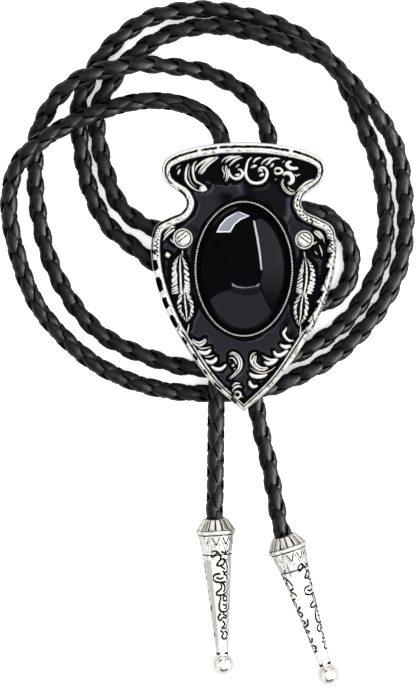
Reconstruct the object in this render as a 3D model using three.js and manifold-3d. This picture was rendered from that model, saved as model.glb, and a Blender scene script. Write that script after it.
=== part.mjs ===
// A bolo tie lying face up: a cast arrowhead slide with a black stone and black enamel, the clasp behind it,
// and one braided leather cord whose two ends are set in long conical tips.
// Millimetres, +X across, +Y up the tie, +Z up from the surface that it lies on.
import * as THREE from "three";
import { mergeVertices } from "three/addons/utils/BufferGeometryUtils.js";
import Module from "manifold-3d";

const wasm = await Module();
wasm.setup();

// Cord
const cordDiameter = 4;
const cordGap = 0.3; // clearance of the cord in the clasp, the tips and under the slide
const cordSides = 10;
const cordSteps = 100;

// Slide
const slideWidth = 42.4; // across the shoulders
const slideHeight = 61.8; // middle of the top edge to the point
const slideTop = 62.5; // how far up the top edge lies
const plateThickness = 1.4;
const rimWidth = 2.2;
const rimHeight = 1.5; // above the plate
const rimBevel = 0.35;
const ornamentHeight = 1.1; // above the plate
const ornamentRoot = 0.3; // how deep the raised work is rooted in the plate
const discHeight = 1.3; // above the plate
const enamelThickness = 0.6;
const enamelGap = 0.12; // between the enamel and the metal beside it

// Stone and its setting
const stoneAcross = 0.4953; // share of the slide's width
const stoneDown = 0.479; // share of the slide's height
const stoneWidth = slideWidth * stoneAcross; // 21 mm
const stoneLength = slideHeight * stoneDown; // 29.6 mm
const stoneHeight = 6;
const girdleHeight = 0.9; // upright edge below the dome
const stoneGap = 0.3;
const bezelWall = 0.5;
const bezelHeight = 2; // above the plate
const bezelDown = 0.47; // share of the slide's height from its top to the stone's centre
const bezelSegments = 48;
const stoneSides = 44;
const domeSteps = 7;

// Clasp
const claspWidth = 18.4;
const claspLength = 8.5;
const claspFloor = 0.9; // metal under a channel
const claspCorner = 0.8;
const channelSpacing = 10.6;
const channelSegments = 6;

// Tips
const tipLength = 36.3;
const collarDiameter = 9.3;
const neckDiameter = 2.8;
const ballDiameter = 5;
const crownWall = 0.45; // metal around the socket's mouth
const socketDepth = 8;
const cordInset = 7; // how far the cord goes into a tip
const leadOut = 3; // length of cord that leaves a tip straight
const tipSides = 16;
const ridgeShare = 0.084; // share of a tip's length from its mouth to the middle of its ridge

// Levels: the cord lies on the surface, and the slide's own runs of cord pass over it
const channelLevel = cordDiameter * 1.5 + cordGap;
const channelRadius = cordDiameter / 2 + cordGap;
const slideBack = channelLevel + channelRadius;
const plateTop = slideBack + plateThickness;
const enamelTop = plateTop + enamelThickness;
const claspBottom = channelLevel - channelRadius - claspFloor;
const stoneCentre = place(0, bezelDown);

// Right half of the slide's outline, from the middle of the top edge to the point.
// Columns: across as a share of half the width, down as a share of the height, rim as a share of its width.
const outlineRows = [
  [0, 0, 1.15],
  [0.33, 0.006, 1.15],
  [0.68, 0.031, 1.15],
  [0.855, 0.066, 1.05],
  [0.888, 0.106, 0.9],
  [0.832, 0.15, 0.75],
  [0.65, 0.2, 0.85],
  [0.62, 0.228, 0.9],
  [0.665, 0.257, 0.95],
  [0.8, 0.279, 1],
  [0.955, 0.31, 1],
  [1, 0.365, 1],
  [0.976, 0.484, 1],
  [0.82, 0.644, 0.95],
  [0.513, 0.82, 0.85],
  [0.32, 0.903, 0.75],
  [0, 1, 0.6],
];
const outlineSteps = 96;

// How raised strokes end and how finely they are cut
const strokeBluntness = 0.35; // width at a stroke's ends, as a share of its width in the middle
const featherBluntness = 0.12;
const scrollBluntness = 0.5;
const strongBow = 0.15; // strokes that bow more than this have one step more
const strokeSteps = 4;
const scrollStep = 32; // degrees
const nearby = 0.01; // share of a stroke, to find its direction

// Raised strokes that turn one way. Columns: start across and down, end across and down, as shares of
// half the slide's width and of its height, bow as a share of the stroke's length (positive turns left),
// and width as a share of the slide's width.
const leafStrokes = [
  // fan of bands and its broad leaf, left of the top
  [-0.69, 0.096, -0.715, 0.12, 0, 0.012],
  [-0.605, 0.07, -0.46, 0.178, 0.28, 0.018],
  [-0.53, 0.066, -0.45, 0.165, 0.3, 0.016],
  [-0.49, 0.168, -0.385, 0.168, 0.1, 0.046],
  [-0.33, 0.056, -0.55, 0.1, 0.12, 0.018],
  [-0.33, 0.066, -0.5, 0.12, 0.06, 0.04],
  // leaf in the middle of the top
  [-0.235, 0.085, -0.22, 0.12, 0.1, 0.014],
  [-0.2, 0.085, -0.19, 0.148, -0.08, 0.018],
  [-0.23, 0.078, -0.12, 0.056, -0.15, 0.016],
  [-0.2, 0.092, -0.01, 0.056, -0.12, 0.022],
  // leaves right of the large scroll
  [0.1, 0.098, 0.15, 0.06, -0.1, 0.02],
  [0.165, 0.073, 0.24, 0.059, -0.1, 0.018],
  [0.21, 0.086, 0.29, 0.066, -0.25, 0.026],
  [0.29, 0.09, 0.43, 0.062, -0.1, 0.018],
  [0.32, 0.106, 0.42, 0.1, 0, 0.034],
  [0.455, 0.086, 0.53, 0.068, -0.3, 0.03],
  [0.47, 0.088, 0.6, 0.099, 0.2, 0.03],
  [0.415, 0.13, 0.53, 0.184, 0.28, 0.022],
  [0.53, 0.184, 0.79, 0.14, 0.06, 0.018],
  [0.555, 0.13, 0.61, 0.113, 0, 0.016],
  // comb of crescents, left of the bottom
  [-0.58, 0.728, -0.405, 0.733, 0.26, 0.034],
  [-0.5, 0.777, -0.345, 0.766, 0.16, 0.038],
  [-0.43, 0.808, -0.295, 0.798, 0.2, 0.036],
  [-0.37, 0.829, -0.185, 0.822, 0.2, 0.032],
  // hook and leaf in the middle of the bottom
  [-0.12, 0.783, -0.16, 0.88, -0.38, 0.034],
  [-0.17, 0.8, -0.08, 0.82, -0.12, 0.02],
  [0.14, 0.774, 0.36, 0.828, 0.34, 0.03],
  [0.11, 0.782, 0.085, 0.83, 0.3, 0.018],
  [0.07, 0.826, 0.25, 0.85, 0.14, 0.03],
  [0.06, 0.858, 0.27, 0.862, 0.13, 0.03],
  [0.065, 0.88, 0.155, 0.905, 0.28, 0.03],
  // stack of leaves, right of the bottom
  [0.2, 0.79, 0.38, 0.805, 0.14, 0.032],
  [0.21, 0.812, 0.29, 0.822, 0.1, 0.026],
  [0.32, 0.784, 0.47, 0.775, 0.2, 0.03],
  [0.385, 0.746, 0.5, 0.755, 0.2, 0.03],
  [0.46, 0.685, 0.455, 0.728, 0.12, 0.024],
  [0.45, 0.722, 0.56, 0.732, 0.3, 0.024],
  // curls at the point
  [-0.13, 0.908, -0.035, 0.897, -0.35, 0.014],
  [-0.135, 0.928, -0.02, 0.906, -0.35, 0.02],
  [-0.095, 0.947, -0.01, 0.933, -0.2, 0.022],
];

// Strokes that stand beside the stone and are mirrored on both sides, with the same columns.
const sideStrokes = [
  [-0.875, 0.374, -0.73, 0.324, -0.12, 0.016],
  [-0.87, 0.346, -0.765, 0.316, -0.1, 0.018],
  [-0.865, 0.412, -0.8, 0.42, 0, 0.026],
  [-0.665, 0.385, -0.67, 0.43, 0, 0.012],
];

// Feathers beside the stone, mirrored as well, with the same columns.
const feathers = [
  [-0.665, 0.412, -0.685, 0.566, 0, 0.1],
  [-0.655, 0.55, -0.605, 0.672, 0, 0.088],
  [-0.61, 0.66, -0.62, 0.725, 0, 0.016],
];

// Scrolls. Columns: centre across and down, radius as a share of the slide's width, start angle and sweep in
// degrees, the share of the radius that is left at the inner end, and width as a share of the slide's width.
const scrolls = [
  [-0.085, 0.113, 0.037, 150, 340, 0.48, 0.016],
  [0.14, 0.113, 0.06, 118, 330, 0.5, 0.022],
  [0.475, 0.134, 0.035, 165, -290, 0.5, 0.018],
];

// Rosettes beside the stone. Columns: centre across and down, and radius as a share of the slide's width.
const rosettes = [
  [-0.658, 0.36, 0.054],
  [0.658, 0.36, 0.054],
];
const rosetteFlat = 0.7; // share of the radius that the flat top has
const rosetteSlope = 0.25; // share of the height that the sloping edge has
const rosetteSides = 16;

// A tip's outside from its mouth to its neck. Columns: share of its length, share of the collar's radius.
const tipRows = [
  [0.04, 0.84],
  [0.068, 0.98],
  [0.074, 1],
  [0.094, 1],
  [0.1, 0.9],
  [0.22, 0.735],
  [0.228, 0.76],
  [0.24, 0.73],
];
const ballSteps = 6;

// Where each tip's mouth lies, and how far the tip leans from straight down the tie, in degrees
const tips = [
  { name: "tip_left", across: -6.6, up: -24, lean: 3.1 },
  { name: "tip_right", across: 9.2, up: -28, lean: 17.9 },
];

// The cord's way from the left tip to the right one: x, y and height of points that it passes
const route = [
  [-6.6, -19.7, 5.0],
  [-6.5, -12.8, 5.2],
  [-6.3, 3.3, 6.2],
  [-6.0, 14.8, 6.3],
  [-5.4, 26.3, 6.3],
  [-5.3, 41.0, 6.3],
  [-5.0, 62.7, 6.3],
  [-6.2, 66.1, 6.2],
  [-8.9, 69.0, 5.9],
  [-14.7, 71.6, 5.3],
  [-21.6, 72.3, 5.4],
  [-28.0, 71.3, 6.1],
  [-39.3, 67.3, 6.3],
  [-48.7, 61.4, 6.3],
  [-51.9, 57.8, 5.4],
  [-53.9, 52.1, 3.0],
  [-54.0, 44.7, 2.16],
  [-49.6, 29.1, 2.04],
  [-45.0, 21.5, 2.0],
  [-33.2, 11.0, 2.0],
  [-17.9, 5.5, 2.0],
  [2.6, 5.4, 2.0],
  [8.3, 6.9, 2.0],
  [20.8, 13.3, 2.0],
  [32.0, 25.2, 2.0],
  [37.1, 38.7, 2.06],
  [36.3, 57.8, 2.3],
  [34.3, 63.6, 3.4],
  [30.2, 70.0, 5.6],
  [20.3, 80.8, 6.3],
  [14.8, 83.9, 6.0],
  [0.1, 88.5, 4.1],
  [-8.5, 89.6, 2.9],
  [-17.7, 87.6, 2.12],
  [-25.9, 82.4, 2.0],
  [-33.1, 71.9, 2.0],
  [-33.9, 66.3, 2.0],
  [-30.5, 52.1, 2.0],
  [-28.2, 47.9, 2.0],
  [-24.6, 44.7, 2.0],
  [-19.7, 42.6, 2.0],
  [-6.6, 41.0, 2.0],
  [0.3, 42.5, 2.0],
  [12.9, 47.2, 2.0],
  [17.5, 46.7, 2.0],
  [21.3, 44.3, 2.0],
  [23.9, 40.6, 2.0],
  [25.0, 36.0, 2.0],
  [24.3, 31.1, 2.0],
  [21.9, 27.5, 2.0],
  [9.5, 22.9, 2.0],
  [0.3, 23.3, 2.0],
  [-8.9, 26.7, 2.0],
  [-25.9, 39.0, 2.0],
  [-30.2, 42.4, 2.0],
  [-33.1, 46.3, 2.0],
  [-36.5, 55.3, 2.0],
  [-37.9, 72.3, 2.0],
  [-35.5, 77.8, 2.0],
  [-32.1, 83.6, 2.0],
  [-22.3, 91.2, 2.0],
  [-9.8, 93.6, 2.0],
  [4.2, 91.2, 2.0],
  [12.0, 88.0, 2.0],
  [20.8, 80.8, 2.0],
  [28.8, 63.8, 2.0],
  [31.2, 57.4, 2.0],
  [32.9, 46.1, 2.0],
  [31.7, 35.3, 2.0],
  [24.4, 22.4, 2.0],
  [13.4, 14.4, 2.0],
  [6.0, 11.7, 2.0],
  [-10.5, 10.6, 2.0],
  [-19.3, 12.3, 2.0],
  [-33.2, 18.8, 2.0],
  [-42.7, 31.0, 2.0],
  [-47.4, 46.3, 2.05],
  [-47.8, 64.0, 2.2],
  [-45.8, 69.1, 2.9],
  [-41.8, 74.4, 4.9],
  [-36.7, 77.8, 6.2],
  [-26.2, 80.5, 6.1],
  [-14.7, 80.1, 3.0],
  [-8.2, 78.8, 2.5],
  [1.0, 73.5, 3.7],
  [4.2, 68.4, 5.0],
  [5.9, 62.7, 6.1],
  [5.3, 41.0, 6.3],
  [5.2, 26.3, 6.3],
  [2.7, 4.9, 6.3],
  [5.9, -11.9, 5.4],
  [7.4, -19.9, 5.1],
];

const silver = new THREE.MeshStandardMaterial({ color: 0xcfccc8, roughness: 0.3, metalness: 1 });
const plainMetal = new THREE.MeshStandardMaterial({ color: 0xa9a8a6, roughness: 0.45, metalness: 1 });
const enamel = new THREE.MeshStandardMaterial({ color: 0x0b0b0e, roughness: 0.12, metalness: 0 });
const stone = new THREE.MeshStandardMaterial({ color: 0x050506, roughness: 0.05, metalness: 0 });
const leather = new THREE.MeshStandardMaterial({ color: 0x171716, roughness: 0.5, metalness: 0 });

// A point on the slide, from its shares of half the width across and of the height down
function place(across, down) {
  return new THREE.Vector2((across * slideWidth) / 2, slideTop - down * slideHeight);
}

// Solids and meshes
function solidOf(geometry) {
  geometry.deleteAttribute("normal");
  geometry.deleteAttribute("uv");
  const merged = mergeVertices(geometry, 1e-4);
  return new wasm.Manifold(
    new wasm.Mesh({
      numProp: 3,
      vertProperties: merged.attributes.position.array,
      triVerts: new Uint32Array(merged.index.array),
    }),
  );
}

function geometryOf(solid) {
  const mesh = solid.getMesh();
  const geometry = new THREE.BufferGeometry();
  geometry.setAttribute("position", new THREE.BufferAttribute(mesh.vertProperties, 3));
  geometry.setIndex(new THREE.BufferAttribute(mesh.triVerts, 1));
  geometry.computeVertexNormals();
  return geometry;
}

function named(name, geometry, material) {
  const mesh = new THREE.Mesh(geometry, material);
  mesh.name = name;
  return mesh;
}

function join(solids) {
  return solids.reduce((whole, piece) => whole.add(piece));
}

// An upright prism of a closed outline between two levels
function prism(shape, bottom, top, curveSegments = 12) {
  const options = { depth: top - bottom, bevelEnabled: false, curveSegments };
  const geometry = new THREE.ExtrudeGeometry(shape, options);
  return solidOf(geometry.translate(0, 0, bottom));
}

// The slide's outline moved inwards. Its one corner, the point, moves further than its flanks do.
function slideOutline(inset) {
  const right = outlineRows.map(([across, down, rim]) => ({ at: place(across, down), inset: inset * rim }));
  const left = right
    .slice(1, -1)
    .map(({ at, inset: move }) => ({ at: new THREE.Vector2(-at.x, at.y), inset: move }));
  const rows = [...right].reverse().concat(left);
  const flank = rows[1].at.clone().sub(rows[0].at).normalize();
  const points = rows.map(({ at, inset: move }, i) => {
    if (i === 0) return new THREE.Vector2(at.x, at.y + move / flank.x);
    const along = rows[(i + 1) % rows.length].at.clone().sub(rows[i - 1].at).normalize();
    return new THREE.Vector2(at.x - along.y * move, at.y + along.x * move);
  });
  points.push(points[0].clone());
  const curve = new THREE.CatmullRomCurve3(
    points.map(({ x, y }) => new THREE.Vector3(x, y, 0)),
    false,
    "centripetal",
  );
  return curve.getSpacedPoints(outlineSteps).slice(0, -1);
}

function shapeOf(points) {
  return new THREE.Shape(points.map(({ x, y }) => new THREE.Vector2(x, y)));
}

function oval(margin) {
  const shape = new THREE.Shape();
  const { x, y } = stoneCentre;
  shape.absellipse(x, y, stoneWidth / 2 + margin, stoneLength / 2 + margin, 0, 2 * Math.PI, false);
  return shape;
}

// Outline of a band along a path, which swells in its middle from blunt ends
function band(path, width, steps, bluntness, grow) {
  const leftSide = [];
  const rightSide = [];
  for (let i = 0; i <= steps; i += 1) {
    const t = i / steps;
    const half = (width / 2) * (bluntness + (1 - bluntness) * Math.sin(Math.PI * t)) + grow;
    const along = path(t + nearby).sub(path(t - nearby)).normalize();
    const reach = i === 0 ? -grow : i === steps ? grow : 0;
    const middle = path(t).addScaledVector(along, reach);
    leftSide.push(new THREE.Vector2(middle.x - along.y * half, middle.y + along.x * half));
    rightSide.push(new THREE.Vector2(middle.x + along.y * half, middle.y - along.x * half));
  }
  return new THREE.Shape(rightSide.concat(leftSide.reverse()));
}

function strokeShape([fromAcross, fromDown, toAcross, toDown, bow, width], grow, bluntness) {
  const from = place(fromAcross, fromDown);
  const chord = place(toAcross, toDown).sub(from);
  const sideways = new THREE.Vector2(chord.y, -chord.x);
  const path = (t) => from.clone().addScaledVector(chord, t).addScaledVector(sideways, 4 * bow * t * (1 - t));
  const steps = Math.abs(bow) > strongBow ? strokeSteps + 1 : strokeSteps;
  return band(path, width * slideWidth, steps, bluntness, grow);
}

function scrollShape([across, down, radius, start, sweep, inner, width], grow) {
  const centre = place(across, down);
  const path = (t) => {
    const angle = THREE.MathUtils.degToRad(start + sweep * t);
    const r = radius * slideWidth * (1 - (1 - inner) * t);
    return new THREE.Vector2(centre.x + r * Math.cos(angle), centre.y + r * Math.sin(angle));
  };
  return band(path, width * slideWidth, Math.ceil(Math.abs(sweep) / scrollStep), scrollBluntness, grow);
}

function mirrored([fromAcross, fromDown, toAcross, toDown, bow, width]) {
  return [-fromAcross, fromDown, -toAcross, toDown, -bow, width];
}

// All raised work between two levels, grown sideways to cut its room in the enamel
function ornament(bottom, top, discTop, grow = 0) {
  const strokes = leafStrokes.concat(sideStrokes, sideStrokes.map(mirrored));
  const plumes = feathers.concat(feathers.map(mirrored));
  const bands = [
    ...strokes.map((row) => strokeShape(row, grow, strokeBluntness)),
    ...plumes.map((row) => strokeShape(row, grow, featherBluntness)),
    ...scrolls.map((row) => scrollShape(row, grow)),
  ];
  const solids = bands.map((shape) => prism(shape, bottom, top));
  for (const row of rosettes) solids.push(rosette(row, bottom, discTop, grow));
  return join(solids);
}

// A low domed disc
function rosette([across, down, share], bottom, top, grow) {
  const radius = share * slideWidth + grow;
  const shoulder = top - (top - bottom) * rosetteSlope;
  const profile = [
    new THREE.Vector2(0, bottom),
    new THREE.Vector2(radius, bottom),
    new THREE.Vector2(radius, shoulder),
    new THREE.Vector2(radius * rosetteFlat, top),
    new THREE.Vector2(0, top),
  ];
  const { x, y } = place(across, down);
  return solidOf(new THREE.LatheGeometry(profile, rosetteSides).rotateX(Math.PI / 2).translate(x, y, 0));
}

// Back plate, raised rim, setting and ornament in one casting
function slideCasting() {
  const outer = slideOutline(0);
  const plate = prism(shapeOf(slideOutline(rimWidth / 2)), slideBack, plateTop);
  const ring = shapeOf(outer);
  ring.holes.push(new THREE.Path(slideOutline(rimWidth)));
  const rim = new THREE.ExtrudeGeometry(ring, {
    depth: plateThickness + rimHeight - 2 * rimBevel,
    bevelThickness: rimBevel,
    bevelSize: rimBevel,
    bevelOffset: -rimBevel,
    bevelSegments: 1,
  });
  const wall = oval(stoneGap + bezelWall);
  wall.holes.push(oval(stoneGap));
  return join([
    plate,
    solidOf(rim.translate(0, 0, slideBack + rimBevel)),
    prism(wall, plateTop - ornamentRoot, plateTop + bezelHeight, bezelSegments),
    ornament(plateTop - ornamentRoot, plateTop + ornamentHeight, plateTop + discHeight),
  ]);
}

// Enamel between the rim, the setting and the raised work, without the specks that the raised work closes in
function enamelInlay() {
  const field = prism(shapeOf(slideOutline(rimWidth + enamelGap)), plateTop, enamelTop);
  const below = plateTop - enamelThickness;
  const above = enamelTop + enamelThickness;
  const setting = prism(oval(stoneGap + bezelWall + enamelGap), below, above, bezelSegments);
  const room = ornament(below, above, above, enamelGap);
  const pieces = field.subtract(setting).subtract(room).decompose();
  return pieces.sort((a, b) => b.volume() - a.volume())[0];
}

// Domed oval stone on a flat base
function cabochonGeometry() {
  const radius = stoneWidth / 2;
  const profile = [new THREE.Vector2(0, 0), new THREE.Vector2(radius, 0)];
  for (let i = 0; i <= domeSteps; i += 1) {
    const angle = ((i / domeSteps) * Math.PI) / 2;
    const r = i === domeSteps ? 0 : radius * Math.cos(angle);
    profile.push(new THREE.Vector2(r, girdleHeight + (stoneHeight - girdleHeight) * Math.sin(angle)));
  }
  return new THREE.LatheGeometry(profile, stoneSides)
    .rotateX(Math.PI / 2)
    .scale(1, stoneLength / stoneWidth, 1)
    .translate(stoneCentre.x, stoneCentre.y, plateTop);
}

// A block behind the slide with two channels, open to the slide's back, for the two runs of cord
function claspGeometry() {
  const half = claspWidth / 2;
  const shape = new THREE.Shape();
  shape.moveTo(-half, slideBack);
  shape.lineTo(-half, claspBottom + claspCorner);
  shape.absarc(-half + claspCorner, claspBottom + claspCorner, claspCorner, Math.PI, 1.5 * Math.PI, false);
  shape.lineTo(half - claspCorner, claspBottom);
  shape.absarc(half - claspCorner, claspBottom + claspCorner, claspCorner, 1.5 * Math.PI, 2 * Math.PI, false);
  shape.lineTo(half, slideBack);
  for (const side of [1, -1]) {
    const centre = (side * channelSpacing) / 2;
    shape.lineTo(centre + channelRadius, slideBack);
    shape.absarc(centre, channelLevel, channelRadius, 0, Math.PI, true);
    shape.lineTo(centre - channelRadius, slideBack);
  }
  const options = { depth: claspLength, bevelEnabled: false, curveSegments: channelSegments };
  const geometry = new THREE.ExtrudeGeometry(shape, options);
  return geometry.rotateX(Math.PI / 2).translate(0, stoneCentre.y + claspLength / 2, 0);
}

// How a tip lies: its collar and its ball both rest on the surface
const collarAlong = tipLength * ridgeShare;
const ballAlong = tipLength - ballDiameter / 2;
const tipTilt = Math.asin((collarDiameter - ballDiameter) / 2 / (ballAlong - collarAlong));
const mouthLevel = collarDiameter / 2 + collarAlong * Math.sin(tipTilt);

function tipDirection({ lean }) {
  const turn = THREE.MathUtils.degToRad(lean);
  const flat = Math.cos(tipTilt);
  return new THREE.Vector3(Math.sin(turn) * flat, -Math.cos(turn) * flat, -Math.sin(tipTilt));
}

function tipPoint(tip, along) {
  return new THREE.Vector3(tip.across, tip.up, mouthLevel).addScaledVector(tipDirection(tip), along);
}

// Collar, cone, neck and ball turned in one piece, with a blind socket for the cord
function tipMesh(tip) {
  const socketRadius = cordDiameter / 2 + cordGap;
  const ballRadius = ballDiameter / 2;
  const neckAngle = Math.asin(neckDiameter / ballDiameter);
  const profile = [
    [0, socketDepth],
    [socketRadius, socketDepth],
    [socketRadius, 0],
    [socketRadius + crownWall, 0],
    ...tipRows.map(([along, radius]) => [(radius * collarDiameter) / 2, along * tipLength]),
  ];
  for (let i = 0; i <= ballSteps; i += 1) {
    const angle = neckAngle + ((Math.PI - neckAngle) * i) / ballSteps;
    const r = i === ballSteps ? 0 : ballRadius * Math.sin(angle);
    profile.push([r, ballAlong - ballRadius * Math.cos(angle)]);
  }
  const points = profile.map(([r, along]) => new THREE.Vector2(r, -along)).reverse();
  const mesh = named(tip.name, new THREE.LatheGeometry(points, tipSides), silver);
  mesh.position.copy(tipPoint(tip, 0));
  mesh.quaternion.setFromUnitVectors(new THREE.Vector3(0, -1, 0), tipDirection(tip));
  return mesh;
}

// One plain tube of the cord's diameter and length
function cordGeometry() {
  const [first, last] = tips;
  const path = new THREE.CatmullRomCurve3(
    [
      tipPoint(first, cordInset),
      tipPoint(first, 0),
      tipPoint(first, -leadOut),
      ...route.map(([x, y, z]) => new THREE.Vector3(x, y, z)),
      tipPoint(last, -leadOut),
      tipPoint(last, 0),
      tipPoint(last, cordInset),
    ],
    false,
    "centripetal",
  );
  const section = new THREE.Shape();
  for (let i = 0; i < cordSides; i += 1) {
    const angle = (2 * Math.PI * i) / cordSides;
    const corner = [(cordDiameter / 2) * Math.cos(angle), (cordDiameter / 2) * Math.sin(angle)];
    if (i === 0) section.moveTo(...corner);
    else section.lineTo(...corner);
  }
  return new THREE.ExtrudeGeometry(section, { steps: cordSteps, extrudePath: path });
}

const boloTie = new THREE.Group();
const slide = new THREE.Group();
slide.add(named("slide_casting", geometryOf(slideCasting()), silver));
slide.add(named("enamel_inlay", geometryOf(enamelInlay()), enamel));
slide.add(named("cabochon", cabochonGeometry(), stone));
slide.add(named("cord_clasp", claspGeometry(), plainMetal));
boloTie.add(slide);
boloTie.add(named("braided_cord", cordGeometry(), leather));
for (const tip of tips) boloTie.add(tipMesh(tip));

export default boloTie;
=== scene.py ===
# A bolo tie lying face up on a pale floor: an arrowhead slide of antiqued cast silver with black enamel and a
# polished black stone, on a braided leather cord with engraved conical tips.
# The file is laid out as an add-on: sizes and colours are properties, and each piece has its own operator.

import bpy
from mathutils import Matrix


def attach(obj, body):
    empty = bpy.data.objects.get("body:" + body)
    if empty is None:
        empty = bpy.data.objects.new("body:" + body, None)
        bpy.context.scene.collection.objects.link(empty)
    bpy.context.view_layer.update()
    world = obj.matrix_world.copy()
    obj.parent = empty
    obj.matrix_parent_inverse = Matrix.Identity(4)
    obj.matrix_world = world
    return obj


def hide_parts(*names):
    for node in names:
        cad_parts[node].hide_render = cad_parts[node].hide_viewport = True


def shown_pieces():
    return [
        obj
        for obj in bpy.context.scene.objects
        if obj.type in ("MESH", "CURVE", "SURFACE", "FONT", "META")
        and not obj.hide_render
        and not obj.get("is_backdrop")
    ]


bl_info = {
    "name": "Bolo Tie",
    "version": (1, 0, 0),
    "blender": (4, 5, 0),
    "location": "View3D > Sidebar > Bolo Tie",
    "description": "Builds a bolo tie with an antiqued arrowhead slide, a braided cord and engraved tips",
    "category": "Object",
}

import math
from types import SimpleNamespace

import bmesh
import bpy
import numpy as np
from mathutils import Vector
from mathutils.kdtree import KDTree

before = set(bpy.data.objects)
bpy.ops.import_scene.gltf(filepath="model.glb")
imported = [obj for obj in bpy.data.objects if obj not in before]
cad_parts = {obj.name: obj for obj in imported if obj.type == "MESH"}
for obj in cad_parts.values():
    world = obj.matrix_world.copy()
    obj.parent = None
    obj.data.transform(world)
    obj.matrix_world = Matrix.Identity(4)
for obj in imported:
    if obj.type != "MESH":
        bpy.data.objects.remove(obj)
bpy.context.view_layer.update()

MM = 0.001
BODY = "root"


def linear(hex_colour):
    """Turns an sRGB hex value into a linear colour."""
    shares = [((hex_colour >> shift) & 255) / 255 for shift in (16, 8, 0)]
    return tuple(c / 12.92 if c <= 0.04045 else ((c + 0.055) / 1.055) ** 2.4 for c in shares)


# Sizes, in millimetres

SLIDE_WIDTH = 42.4
SLIDE_HEIGHT = 61.8
SLIDE_TOP = 62.5
SLIDE_BACK = 8.6
PLATE_TOP = 10.0
ENAMEL_TOP = 10.6
# How deep the raised work is rooted in the plate
ROOT = 0.2
RIM_WIDTH = 2.2
STONE_WIDTH = 21.0
STONE_LENGTH = 29.6
STONE_CENTRE = (0.0, SLIDE_TOP - 0.47 * SLIDE_HEIGHT)
STONE_HEIGHT = 6.0
GIRDLE = 0.9

# Right half of the slide's outline, from the middle of the top edge to the point.
# Columns: across as a share of half the width, down as a share of the height, rim as a share of its width.
OUTLINE = [
    (0, 0, 1.15), (0.33, 0.006, 1.15), (0.68, 0.031, 1.15), (0.855, 0.066, 1.05), (0.888, 0.106, 0.9),
    (0.832, 0.15, 0.75), (0.65, 0.2, 0.85), (0.62, 0.228, 0.9), (0.665, 0.257, 0.95), (0.8, 0.279, 1),
    (0.955, 0.31, 1), (1, 0.365, 1), (0.976, 0.484, 1), (0.82, 0.644, 0.95), (0.513, 0.82, 0.85),
    (0.32, 0.903, 0.75), (0, 1, 0.6),
]

# Sections of the rim, from its back edge over the top to its inner wall.
# Columns: share of the rim's width, height above the slide's back, how much blackening lies there.
RIM_TOP = [
    (0.5, 0, 0.6), (0.05, 0, 0.3), (0, 0.25, 0.1), (0, 2.0, 0.1), (0.02, 2.35, 0), (0.08, 2.55, 0),
    (0.17, 2.62, 0), (0.24, 2.56, 0.3), (0.3, 2.3, 1), (0.38, 2.3, 1), (0.43, 2.62, 0.2), (0.5, 2.84, 0),
    (0.62, 2.9, 0.1), (0.7, 2.8, 0.5), (0.76, 2.88, 0.1), (0.86, 2.8, 0), (0.93, 2.6, 0.1), (0.97, 2.3, 0.8),
    (1, 1.6, 1), (1, 0, 1), (0.5, 0, 0.6),
]
RIM_POINT = [
    (0.5, 0, 0.6), (0.05, 0, 0.3), (0, 0.25, 0.1), (0, 2.0, 0.1), (0.02, 2.35, 0), (0.08, 2.6, 0.1),
    (0.17, 2.7, 0.35), (0.24, 2.85, 0), (0.36, 2.88, 0), (0.47, 2.84, 0), (0.55, 2.68, 0.3), (0.59, 2.2, 1),
    (0.68, 2.2, 1), (0.72, 2.66, 0.2), (0.78, 2.78, 0), (0.86, 2.78, 0), (0.92, 2.6, 0.1), (0.97, 2.3, 0.8),
    (1, 1.6, 1), (1, 0, 1), (0.5, 0, 0.6),
]

# How far the rim's groove moves inwards. Columns: share of the height down the slide, move as a share of the
# rim's width.
GROOVE_MOVE = [(0, 0.06), (0.1, 0.08), (0.17, 0), (0.21, -0.2), (0.25, -0.2), (0.3, -0.16), (0.7, -0.16)]

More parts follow.
